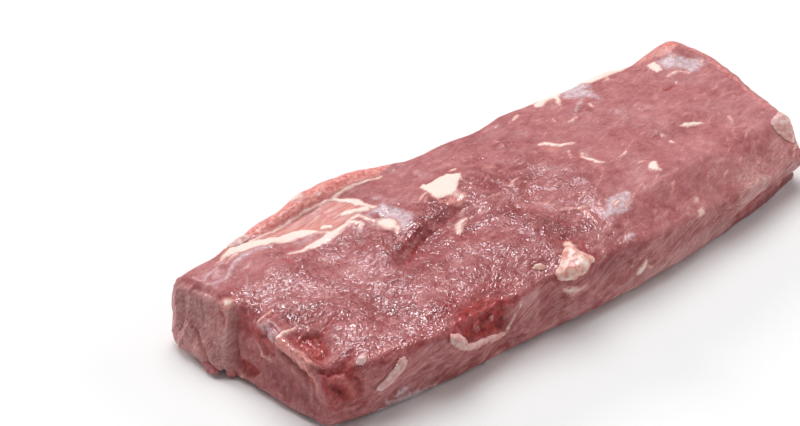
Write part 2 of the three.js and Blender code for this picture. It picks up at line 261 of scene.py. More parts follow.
# What lies in the surface, judged from the photograph and given in mm: on the top as (x, y),
# on the right cut wall as (x, z), on the near end as (y, z). Each mark is its kind, how strong it
# is, how soft its edge is, how far it stands out, and its line or outline. Film is thin membrane,
# salmon is fatty meat, strip is the brighter strip muscle, and meat clears what lies over it.
# Dark marks are painted shade: creases, nooks, hollows and the undercut foot darkened in the colour. Pale
# marks are partly paler meat and partly painted light, where a wall or the near end is lightened for the
# light it catches.
MARKS = {}
MARKS["top"] = [
    # Fat and fascia left between the loin and the strip muscle.
    ("fat", 1, 0.5, 0.35, [(-93.5, 31.3, 0.4), (-90, 32.3, 1.2), (-87, 32.6, 2), (-84, 32.2, 2.1),
        (-81, 31.2, 2), (-78, 29.9, 1.8), (-75, 28.6, 1.7), (-72, 27.6, 2), (-70, 27, 2.4), (-67, 26.9, 2.3),
        (-64, 26, 1.8), (-62, 24.3, 1.1), (-60.3, 22.6, 0.7), (-58.8, 20.6, 0.5)]),
    ("fat", 1, 0.4, 0.3, [(-83, 33.2, 0.8), (-77, 32.8, 0.5), (-72, 32.6, 0.4), (-66, 33.2, 0.4),
        (-60, 33.9, 0.45), (-55, 33.6, 0.4), (-50, 33.3, 0.4), (-47, 33, 0.6), (-44, 33.9, 0.6),
        (-41, 34.6, 0.5), (-37, 34.7, 0.45), (-31, 34.4, 0.45), (-26, 34.2, 0.4)]),
    ("fat", 1, 0.4, 0.3, [(-58.3, 24.1, 1), (-56.9, 22.4, 1.1)]),
    ("fat", 1, 0.5, 0.3, [(-76, 18.8, 0.4), (-72, 18.3, 0.9), (-68, 18, 1.3), (-64, 18.2, 1.7),
        (-60, 18.5, 1.8), (-56.5, 19.2, 1.3), (-53, 19.6, 0.9), (-50, 20.2, 0.8)]),
    ("fat", 1, 0.5, 0.3, [(-47, 32.6, 0.8), (-45, 30.6, 1.2), (-43, 28.5, 1.5), (-41.6, 26.5, 1.5),
        (-40.6, 24.4, 1.2), (-40, 22.4, 1.1), (-38.3, 21.6, 0.8)]),
    ("fat", 1, 0.5, 0.3, [(-53, 25.3, 0.4), (-50, 25, 0.9), (-47, 24.2, 1.2), (-44.5, 23.2, 1.2),
        (-42, 22.5, 1.2)]),
    ("fat", 1, 0.5, 0.25, [(-51.5, 20, 0.7), (-48.5, 21.4, 0.8), (-46, 20.8, 0.8), (-45.4, 17.6, 0.9),
        (-44.6, 15.4, 0.8)]),
    ("fat", 0.9, 0.5, 0.25, [(-50.3, 20, 0.8), (-49, 18.4, 1.1), (-48.2, 16.8, 0.9), (-49.6, 16, 0.6)]),
    ("fat", 0.8, 0.6, 0.2, [(-44, 15), (-41, 15.4), (-38.6, 14), (-38.5, 11), (-40, 8.4), (-41.6, 5.4),
        (-44.4, 3.8), (-43.5, 7), (-44.7, 10), (-45.4, 13)]),
    ("film", 1, 0.85, 0.15, [(-46, 20.5), (-43, 20), (-40, 21.8), (-36, 21.6), (-34, 18), (-33, 14.5),
        (-32.4, 11), (-33.5, 8), (-36, 6), (-39, 4.5), (-41.5, 4.2), (-44, 7), (-45, 11), (-46, 15)]),
    ("meat", 1, 0.4, -0.2, [(-43.6, 18.4), (-42.4, 19.5), (-40, 18.9), (-39.8, 16), (-41.5, 15.2),
        (-43.8, 16.3)]),
    ("fat", 0.9, 0.4, 0.3, [(-50.6, 36, 0.5), (-49.3, 36.4, 0.6)]),
    ("fat", 0.6, 0.4, 0.1, [(-48.5, 35.3, 0.3), (-46.5, 35.2, 0.4), (-44.5, 34.8, 0.3)]),
    ("fat", 0.6, 0.4, 0.1, [(-68, 35.2, 0.3), (-65.5, 35.5, 0.4)]),
    # The big cream island and its paler foot.
    ("fat", 1, 0.3, 0.5, [(-20.6, 20.7), (-18.6, 22.1), (-18, 20.8), (-14, 20.7), (-12, 20.9), (-9, 20.6),
        (-8, 19), (-6.2, 17.6), (-7.8, 15.4), (-10.5, 13.2), (-13.3, 11.2), (-14.6, 10.4), (-18, 10.2),
        (-21, 10.4), (-22, 10.6), (-21.4, 14), (-20.8, 17)]),
    ("fat", 0.55, 0.6, 0.25, [(-18.5, 10.8), (-13, 11.3), (-13.2, 9.2), (-12.2, 8), (-14, 5.8), (-15.6, 5.8),
        (-16, 8), (-18, 9.3)]),
    ("fat", 0.8, 0.4, 0.15, [(-26.2, 14.6, 0.3), (-23.8, 15.9, 0.45), (-21.6, 17, 0.4)]),
    ("fat", 0.6, 0.4, 0.1, [(-25.5, 12.6, 0.25), (-23.8, 13.8, 0.35), (-22.4, 14.2, 0.3)]),
    # Small pieces of fat over the middle and the far half.
    ("fat", 0.75, 0.4, 0.25, [(-27.8, -5.6), (-26.4, -3.2), (-24.4, -1.4), (-22, -0.6), (-19.4, -0.2),
        (-18.8, -1), (-20.6, -2), (-23, -3.6), (-25, -5.2), (-27, -6.5)]),
    ("fat", 0.6, 0.4, 0.2, [(-20.3, 1, 0.4), (-17.6, 2.3, 0.5)]),
    ("fat", 0.8, 0.4, 0.3, [(-7, 21.2, 0.6), (-5.2, 20.9, 0.7)]),
    ("fat", 0.7, 0.4, 0.15, [(-7.5, 1.5, 0.3), (-5, 1.2, 0.4), (-2.6, 1, 0.35)]),
    ("fat", 0.7, 0.3, 0.2, [(2.4, 0.8, 0.35), (2.8, 0.8, 0.35)]),
    ("fat", 0.8, 0.3, 0.2, [(4.7, 1.1, 0.4), (5.1, 1.3, 0.4)]),
    ("fat", 0.8, 0.3, 0.2, [(7.3, 1.1, 0.4), (7.8, 1.2, 0.4)]),
    ("fat", 0.75, 0.4, 0.2, [(1.6, 1.9, 0.3), (4.3, 3.3, 0.5), (6.2, 3.9, 0.35)]),
    ("fat", 0.5, 0.5, 0.15, [(16.4, 22.4, 0.6), (16.9, 22.9, 0.6)]),
    ("fat", 0.5, 0.5, 0.15, [(17.2, 25.8, 0.4), (17.4, 26.4, 0.4)]),
    ("fat", 0.5, 0.5, 0.15, [(4.4, 23.8, 0.6), (4.7, 24.2, 0.5)]),
    ("fat", 0.95, 0.45, 0.35, [(25.6, 14, 0.5), (27.6, 13.3, 1.1), (29.2, 11.4, 1.2), (30.4, 9.8, 0.9),
        (32.5, 8.3, 0.8), (34.4, 7.5, 0.75), (35.4, 7, 0.4)]),
    ("fat", 0.7, 0.4, 0.2, [(30.6, 4.6, 0.45), (29.1, 2.6, 0.4), (28, 1, 0.2)]),
    ("fat", 0.9, 0.45, 0.3, [(33.6, 1.2, 0.5), (31.6, -0.8, 0.6), (32, -3, 1), (32.6, -5.5, 1),
        (33.5, -7.7, 0.6), (34.3, -8.7, 0.3)]),
    ("film", 0.8, 1.02, 0.05, [(34.2, 1.8, 0.9), (33, -1, 0.9), (33.4, -4.5, 0.6)]),
    ("fat", 0.5, 0.35, 0.1, [(34, -9, 0.25), (38, -9.3, 0.3), (41, -8.8, 0.35), (45, -7.6, 0.35),
        (50, -5, 0.25), (52.5, -3.2, 0.2)]),
    ("fat", 0.8, 0.4, 0.25, [(40.6, -9, 0.4), (43, -8.5, 0.7), (45, -7.7, 0.4)]),
    ("fat", 0.55, 0.35, 0.1, [(32, -10, 0.3), (29, -13, 0.3), (25.6, -15.2, 0.3)]),
    ("fat", 0.45, 0.35, 0.1, [(40, -1.5, 0.2), (40.2, -4, 0.25), (40.3, -7.4, 0.2)]),
    ("fat", 0.35, 0.35, 0.1, [(46, -9.6, 0.3), (48.5, -11.5, 0.3)]),
    ("fat", 0.45, 0.35, 0.1, [(50.5, -7, 0.2), (52.6, -3.4, 0.25), (54, 1, 0.25), (56, 5, 0.25),
        (58.4, 7.4, 0.2)]),
    ("fat", 0.75, 0.4, 0.2, [(43.4, -14.7, 0.4), (45, -15.1, 0.5), (46.6, -15.6, 0.3)]),
    ("fat", 0.9, 0.35, 0.35, [(45, -17.8), (47, -17.2), (48.7, -17.2), (48, -19.5), (46.9, -21), (46.4, -23),
        (45.4, -23.3), (45.1, -21.6), (43.8, -20.2), (44.2, -18.6)]),
    ("fat", 0.6, 0.4, 0.2, [(46.7, -28.2, 0.3), (45, -29.6, 0.5), (43, -31.3, 0.5)]),
    ("fat", 0.55, 0.4, 0.2, [(4, -12.3, 0.9), (6, -12, 0.7)]),
    ("fat", 0.85, 0.4, 0.25, [(29.6, 31.4, 0.4), (31.2, 32, 0.6), (33, 32.6, 0.4)]),
    ("fat", 0.4, 0.5, 0.1, [(18, 33.4, 0.5), (21, 33.6, 0.6), (24, 33, 0.4)]),
    ("fat", 0.6, 0.5, 0.2, [(39.9, 21.5, 0.7), (40.4, 22.6, 0.6)]),
    ("fat", 0.7, 0.4, 0.2, [(43, 17.9, 0.35), (45, 18.1, 0.7), (46.8, 18.3, 0.6)]),
    ("fat", 0.8, 0.4, 0.3, [(56, 20.6, 0.7), (56.8, 22, 0.8)]),
    ("fat", 0.9, 0.45, 0.3, [(41, 33), (42, 35.2), (46, 35.5), (50, 35.3), (54, 36.9), (57, 36.9),
        (53.4, 33.6), (51, 31), (49, 28.4), (47.8, 27.2), (48.3, 30), (50, 32.8), (46.5, 32.4),
        (43.5, 31.4)]),
    ("film", 1, 1.02, 0.1, [(55, 35), (59, 37.5), (66, 37.6), (68, 33.6), (64.6, 31), (63.6, 27), (63, 22.8),
        (61.6, 22.4), (60, 26.6), (55.5, 28.4), (53, 31)]),
    ("film", 0.8, 0.68, 0.1, [(60.5, 28.4, 0.8), (55, 25.4, 0.8), (51, 22.6, 0.7), (47.6, 20.4, 0.4)]),
    ("fat", 1, 0.45, 0.35, [(65.4, 37.4), (64.4, 35), (67, 33), (70, 32.4), (76, 33), (82, 33), (86, 33.8),
        (87.5, 35.4), (82, 37.4), (75, 38.4), (68, 38.4)]),
    ("fat", 0.6, 0.6, 0.2, [(74.4, 32.4, 0.9), (73, 30.4, 0.9), (70.6, 30.4, 0.6)]),
    ("fat", 0.35, 0.6, 0.1, [(81.4, 25.6, 0.6), (79.8, 24.2, 0.5)]),
    ("film", 1, 0.85, 0.12, [(94, 29), (96, 28.4), (101, 28), (103.2, 25), (105, 22.4), (108.4, 20),
        (108.6, 17.4), (105, 16.4), (100, 14.8), (98.6, 16), (99.4, 18), (97.5, 21), (95, 22.4),
        (93.4, 25)]),
    ("fat", 0.95, 0.45, 0.3, [(94.4, 29), (91, 29.6), (89.8, 26), (90.4, 23.6), (93, 23.4), (94, 26)]),
    ("fat", 0.75, 0.5, 0.3, [(92, 19.7, 0.6), (94.4, 19.7, 0.7), (97, 19, 0.7), (98.2, 17.4, 0.6),
        (98.4, 15.6, 0.4)]),
    ("fat", 0.8, 0.5, 0.2, [(101, 25.9, 0.7), (102.2, 26.1, 0.6)]),
    ("fat", 0.8, 0.5, 0.2, [(107.2, 18.2, 0.7), (107.9, 18.8, 0.5)]),
    ("fat", 0.9, 0.4, 0.35, [(70.6, -7.7, 0.5), (72.6, -7.9, 1.1), (75.4, -8.8, 1.1), (78, -9.8, 0.8)]),
    ("fat", 0.5, 0.35, 0.15, [(80.5, -11, 0.4), (83, -9.5, 0.3), (86, -8.3, 0.2)]),
    ("fat", 0.75, 0.4, 0.25, [(61.6, -12.2, 0.7), (61.9, -13, 0.5)]),
    ("fat", 0.4, 0.4, 0.15, [(62, -7.5, 0.4), (62.3, -8, 0.4)]),
    ("fat", 0.65, 0.4, 0.25, [(89.2, -11.8, 0.5), (88.6, -13.6, 0.7), (88, -15, 0.5)]),
    ("fat", 0.4, 0.5, 0.15, [(83, -14.6, 0.6), (84.6, -17, 0.6), (87.4, -19.8, 0.5)]),
    ("fat", 0.5, 0.4, 0.15, [(84.6, -24.3, 0.4), (86.4, -23.4, 0.5), (88.4, -22.4, 0.4)]),
    ("fat", 0.45, 0.3, 0.12, [(62.6, -28.6, 0.25), (66, -25.6, 0.3), (69.2, -22.8, 0.2)]),
    ("fat", 0.5, 0.3, 0.12, [(73.6, -32, 0.35), (76.6, -30.6, 0.3)]),
    ("fat", 0.55, 0.3, 0.12, [(64.4, -34, 0.4), (67.4, -33, 0.4)]),
    ("fat", 0.5, 0.3, 0.12, [(82, -34, 0.25), (85, -33, 0.35), (88, -32.2, 0.25)]),
    ("fat", 0.5, 0.3, 0.12, [(91, -31.8, 0.3), (94.4, -30.4, 0.3)]),
    ("fat", 0.6, 0.3, 0.12, [(69, -39.6, 0.25), (72.6, -38.8, 0.35), (76.4, -38, 0.25)]),
    ("fat", 0.5, 0.3, 0.12, [(30.6, -35.8, 0.25), (34.6, -33, 0.3)]),
    ("fat", 0.5, 0.3, 0.12, [(39.4, -37, 0.3), (42.6, -35.8, 0.3)]),
    ("fat", 0.4, 0.3, 0.12, [(33.4, -38, 0.25), (36.4, -35.4, 0.25)]),
    ("film", 1, 0.68, 0.12, [(14, -29), (17, -27), (19.5, -24.6), (20.6, -23), (24, -23.2), (27, -22.7),
        (29.6, -23.4), (30.2, -25.4), (27.5, -28), (25, -30.3), (22.5, -31.5), (20, -31), (17.4, -30),
        (15, -29.8)]),
    ("fat", 0.7, 0.5, 0.1, [(21.4, -27.1, 1.1), (23.6, -26.3, 0.8)]),
    ("film", 0.5, 0.85, 0.08, [(13, -19, 0.6), (15.4, -19.6, 0.6), (18, -20.6, 0.5)]),
    ("fat", 0.6, 0.5, 0.35, [(5.4, -17.4, 0.4), (8, -18.6, 0.5), (10.4, -20.6, 0.8), (13.6, -21.6, 0.7)]),
    ("salmon", 0.7, 1, 0.45, [(8.5, -19, 1), (11.4, -22, 1.2), (12, -26, 0.8), (10.8, -30.6, 0.6)]),
    ("film", 0.8, 0.51, 0.3, [(15.4, -39.6, 1.2), (17, -39.2, 1.2)]),
    # Near end of the top: torn membrane, its folds, and deep red in the hollows, partly the meat's
    # own dark red and partly painted shade.
    ("film", 1, 0.5, 0.25, [(-103.4, 26.2, 0.35), (-101, 27, 0.4), (-98.8, 27.8, 0.4), (-95.6, 28.8, 0.4),
        (-92.9, 30.1, 0.5)]),
    ("film", 1, 0.5, 0.25, [(-102.9, 23.1, 0.5), (-100.6, 23.1, 0.45), (-98.5, 22.8, 0.4),
        (-96.4, 23.4, 0.5), (-94.8, 24.7, 0.6), (-92.6, 26, 0.6), (-90.7, 27.5, 0.8), (-87, 28.6, 0.9),
        (-82, 28.4, 0.8), (-77, 27, 0.8)]),
    ("film", 0.8, 0.35, 0.15, [(-92, 19.4, 0.2), (-93, 18.2, 0.3), (-95.6, 15.4, 0.3), (-98, 11.6, 0.25)]),
    ("fat", 0.7, 0.3, 0.2, [(-97.6, 29.4, 0.3), (-95, 30.2, 0.4), (-92, 31.2, 0.6)]),
    ("fat", 0.6, 0.3, 0.2, [(-93.6, 28.4, 0.3), (-91, 29.8, 0.5), (-88, 30.6, 0.8)]),
    ("salmon", 0.9, 0.5, 0.3, [(-92.6, 12, 0.7), (-90.4, 12.4, 0.6)]),
    ("salmon", 1, 0.5, 0.6, [(-104.3, 15.4, 0.6), (-103.9, 13, 0.9), (-102.8, 11.8, 0.7),
        (-101.4, 12.4, 0.4)]),
    ("fat", 0.4, 0.4, 0.2, [(-104, 14, 0.3), (-103.4, 12.3, 0.4)]),
    ("fat", 0.7, 0.4, 0.7, [(-103.6, -1.2, 0.5), (-101, -0.6, 0.5), (-98.4, 0.2, 0.4), (-96, 1, 0.3)]),
    ("salmon", 0.6, 0.4, 0.35, [(-103, -2.8, 0.3), (-98, -2.7, 0.35), (-94, -1.9, 0.3), (-90, -0.6, 0.2)]),
    ("film", 1, 0.5, 0.6, [(-103, -4.2, 0.6), (-103.2, -7, 0.7), (-103.4, -10, 0.7)]),
    ("film", 0.9, 0.4, 0.4, [(-101.6, -3.4, 0.3), (-100.6, -6.2, 0.4), (-101.4, -9, 0.3)]),
    ("blood", 0.7, 0.4, -0.6, [(-102.2, -5, 0.3), (-101.8, -7, 0.4), (-102.2, -9.4, 0.3)]),
    ("blood", 0.6, 0.5, -0.5, [(-99, -4, 0.4), (-98, -6.6, 0.6), (-94, -5.4, 0.4)]),
    ("salmon", 0.5, 0.4, 0.4, [(-99.6, -8, 0.3), (-97, -8, 0.35), (-94, -7.2, 0.2)]),
    ("fat", 0.9, 0.45, 0.9, [(-103.4, -10.8, 0.9), (-100.6, -10.5, 0.8), (-98, -10, 0.6),
        (-95.4, -9.6, 0.4)]),
    ("salmon", 1, 0.4, 0.7, [(-103.4, -12, 0.9), (-103.2, -15, 0.6), (-103.8, -18, 0.8), (-103, -21, 0.5),
        (-103.2, -24.6, 0.7), (-102.4, -28.4, 0.5)]),
    ("fat", 0.6, 0.4, 0.2, [(-103.8, -11.6, 0.7), (-104, -15, 0.4), (-104, -20, 0.35), (-103.6, -26, 0.3)]),
    ("blood", 0.8, 1, -1.7, [(-101.4, -12.8), (-96.4, -12), (-93.6, -15.4), (-92.6, -19.6), (-94.4, -24),
        (-98, -27), (-101.2, -27.4), (-101.6, -20)]),
    ("salmon", 0.6, 0.35, 0.9, [(-100.6, -14.6, 0.3), (-98.6, -17.2, 0.45), (-97.2, -20, 0.45),
        (-94.8, -19.4, 0.4), (-94.4, -17, 0.3)]),
    ("salmon", 0.6, 0.35, 0.9, [(-101.2, -21, 0.35), (-98.8, -23.2, 0.45), (-95.8, -22, 0.4),
        (-94, -20.4, 0.3)]),
    ("salmon", 0.5, 0.35, 0.6, [(-100.8, -17.6, 0.3), (-99.4, -19.8, 0.4), (-100.4, -24.8, 0.4),
        (-97, -25.6, 0.35)]),
    ("blood", 0.95, 0.5, -1.4, [(-103.4, -29.8, 0.9), (-100.6, -31.6, 1), (-97.4, -33, 0.9),
        (-93.6, -31.4, 0.6), (-90, -29.4, 0.4)]),
    ("blood", 0.85, 0.6, -0.9, [(-92, -18.4, 0.7), (-89.6, -16.6, 0.9), (-86.4, -15.4, 0.9),
        (-82.8, -14.4, 0.5)]),
    ("salmon", 0.4, 0.4, 0.5, [(-99, -29, 0.3), (-95.4, -28.6, 0.5), (-91.6, -27.4, 0.4),
        (-88, -25.4, 0.3)]),
    ("blood", 0.4, 0.5, -0.3, [(-94, 4, 0.6), (-90, 3.5, 0.5)]),
    ("blood", 0.4, 0.5, -0.35, [(-87, -0.6, 0.4), (-83, -1, 0.5), (-79.4, -2, 0.3)]),
    ("blood", 0.4, 0.5, -0.3, [(-89.2, -5.8, 0.3), (-87, -8.2, 0.4), (-84, -8, 0.4), (-82.8, -9.8, 0.3)]),
    ("salmon", 0.35, 0.5, 0.3, [(-88.8, -4.6, 0.3), (-86, -6.4, 0.4), (-83, -5.8, 0.4), (-81.4, -8.4, 0.3)]),
    ("blood", 0.9, 0.5, -0.7, [(-78.3, 18, 0.7), (-78.2, 16, 0.8)]),
    ("blood", 0.7, 0.5, -0.5, [(-75, 24.2, 0.6), (-72.6, 21.6, 0.8)]),
    ("film", 0.45, 1.19, -0.25, [(-72, 23), (-70, 24.6), (-66, 24.6), (-63, 23), (-60.6, 20.8), (-64, 20.4),
        (-68, 20.4), (-71, 21)]),
    ("salmon", 0.3, 0.6, 0.2, [(-86, -36), (-83.6, -37.4), (-80, -36.4), (-80.4, -34.4), (-84, -34)]),
    # Middle of the top: the deep crease with the swollen lip behind it, and smaller folds.
    # The crease and smaller folds are sunk and painted deep red: partly the meat's own colour, partly
    # painted shade.
    ("blood", 0.95, 0.5, -1, [(-50.6, -7.4, 0.3), (-47, -6, 0.5), (-44, -4.4, 0.7), (-41.5, -2.8, 0.6),
        (-38, -1.9, 0.35), (-35.5, -1.3, 0.3), (-29.2, 0.2, 0.25), (-22.3, 2.2, 0.25), (-18.2, 3.2, 0.2)]),
    ("blood", 0.45, 0.35, -0.35, [(-51, -9, 0.3), (-46.6, -8, 0.3), (-42, -5.8, 0.35), (-37, -4.2, 0.3)]),
    ("blood", 0.4, 1.8, 1, [(-47, -1.6, 1), (-43, 0.6, 1.6), (-39, 2, 1.6), (-35, 3, 1.2)]),
    ("salmon", 0.2, 2.2, 0.4, [(-36, 3, 1.6), (-30, 4.4, 1.8), (-23, 6, 1.6)]),
    ("blood", 0.35, 0.5, -0.35, [(-60, -7, 0.3), (-56, -6.6, 0.4), (-52, -6, 0.4)]),
    ("blood", 0.5, 0.6, -0.4, [(-28.4, -6, 0.5), (-26.4, -8.4, 0.7), (-23, -9.4, 0.5)]),
    ("salmon", 1, 1, 0.2, [(-22, 9.6), (-19, 10), (-15, 8), (-13.6, 5), (-17, 4.6), (-21, 6.6)]),
    ("salmon", 0.5, 0.4, 0.3, [(-28.6, -12.6, 0.3), (-27.6, -16, 0.3), (-27.6, -18.4, 0.2)]),
    ("salmon", 0.3, 0.5, 0.3, [(-58.4, -18.4, 0.3), (-55, -19.6, 0.4), (-52.6, -19.6, 0.4)]),
    ("blood", 0.5, 1.2, -0.2, [(-6, -29.6, 1), (-2, -30.8, 1.3), (1, -33, 1.4), (-1.4, -37, 1.6)]),
    ("blood", 0.5, 0.8, -0.3, [(-13.4, 5.4, 0.5), (-10.6, 3.4, 0.5), (-7, 2.4, 0.4), (-3, 2, 0.3)]),
    ("blood", 0.35, 0.8, -0.2, [(1.6, 21, 0.8), (5, 20.8, 0.7), (8.4, 21.4, 0.5)]),
    ("blood", 0.5, 0.8, -0.2, [(19.6, 20, 0.6), (22, 19.6, 0.8), (24, 20, 0.5)]),
    ("blood", 0.35, 0.5, -0.25, [(11, -5.8, 0.3), (13.6, -5.6, 0.4), (15.4, -5.4, 0.3)]),
    ("salmon", 0.8, 0.9, 0.15, [(2.2, 13, 0.9), (4, 14.4, 1), (6, 14.4, 0.8)]),
    ("salmon", 0.6, 0.8, 0.1, [(-8, 25, 0.5), (-6, 26, 0.7), (-4, 26, 0.5)]),
    ("salmon", 0.7, 1.8, 0.1, [(24, 5), (29, 7), (31, 10), (27, 14), (24, 12)]),
    ("salmon", 0.5, 1.2, 0, [(31, -5), (33, -8), (33.5, -10.6), (29.5, -10), (29.4, -7)]),
    ("salmon", 0.5, 1, 0, [(55, 18), (58, 20), (57.6, 23), (55, 21)]),
    ("blood", 1, 0.7, -0.6, [(83.6, 12.9, 0.9), (86.5, 13.7, 0.9), (90.4, 14.7, 0.5)]),
    ("blood", 0.4, 1, -0.2, [(92, 12.6, 0.6), (95.4, 11.6, 0.6)]),
    ("blood", 0.35, 1, -0.2, [(90.4, 2.6, 0.5), (93.4, 3.2, 0.7), (96.4, 3.4, 0.5)]),
    ("salmon", 0.8, 1, 0.2, [(88, 33), (92, 31), (97, 30.2), (99, 28.4), (101, 28.4), (104, 33), (103, 36),
        (92, 36)]),
    ("blood", 0.55, 0.8, 0, [(92, 32.4, 0.8), (96, 30.8, 0.9), (98.6, 29.4, 0.7)]),
    ("strip", 1, 0.8, 0.3, [(102, 28.4), (108, 29.8), (107.6, 34), (103, 34.6), (101.4, 31)]),
    ("fat", 0.5, 0.6, 0.1, [(98, 33.4, 0.6), (99.4, 31, 0.6)]),
    ("strip", 0.7, 0.9, 0.1, [(102.4, -18, 0.8), (106.4, -2, 1.1), (109.8, 12, 1.2), (110.8, 20, 1.2),
        (108.6, 30, 1.2)]),
    # The strip muscle along the left edge, brighter and lying the long way.
    ("strip", 1, 0.7, 0, [(-81.4, 34), (-80.4, 38.6), (-75, 40.6), (-68, 42), (-60, 43.6), (-50, 46),
        (-40, 46), (-30, 45), (-22, 41), (-19, 37.4), (-26, 34.9), (-31, 35.2), (-40, 35.6), (-44, 34.6),
        (-50, 34.2), (-60, 34.7), (-75, 33.7)]),
    ("salmon", 1, 0.8, 0, [(-82, 33), (-76, 32.4), (-60, 33.4), (-48, 32.6), (-44, 29), (-41, 25),
        (-44, 22.6), (-49, 20.4), (-52, 20), (-57, 20), (-60, 22), (-62, 24.4), (-66, 28.4), (-72, 29.4),
        (-79, 30.4)]),
    ("fat", 0.55, 0.6, 0.15, [(-60.4, 41), (-57, 43), (-53, 45.4), (-50, 45), (-53.4, 39.4), (-54.6, 36.6),
        (-58, 38)]),
    ("fat", 0.9, 0.4, 0.5, [(-90.4, 34.8), (-88, 37.2), (-84.4, 38.4), (-81, 39), (-80.2, 36.6), (-81.6, 35),
        (-85, 35.3), (-88, 34.9)]),
    ("blood", 0.9, 0.3, -0.5, [(-90, 34.5, 0.25), (-85, 34.9, 0.3), (-81.6, 34.6, 0.3)]),
    ("blood", 0.7, 0.35, -0.3, [(-78, 33.9, 0.25), (-72, 34, 0.3), (-66, 34.5, 0.25), (-61, 35.1, 0.25),
        (-55, 34.6, 0.2)]),
    ("blood", 0.8, 1.6, -0.5, [(-60, -41), (-59, -37), (-54, -34.5), (-46, -33.6), (-39, -34.6), (-35, -37),
        (-34, -41)]),
    ("blood", 0.4, 3, 0, [(-101, -34), (-96, -30), (-84, -33.4), (-70, -34), (-62, -31), (-50, -28),
        (-36, -29), (-28, -33), (-30, -40), (-60, -42), (-90, -38)]),
]
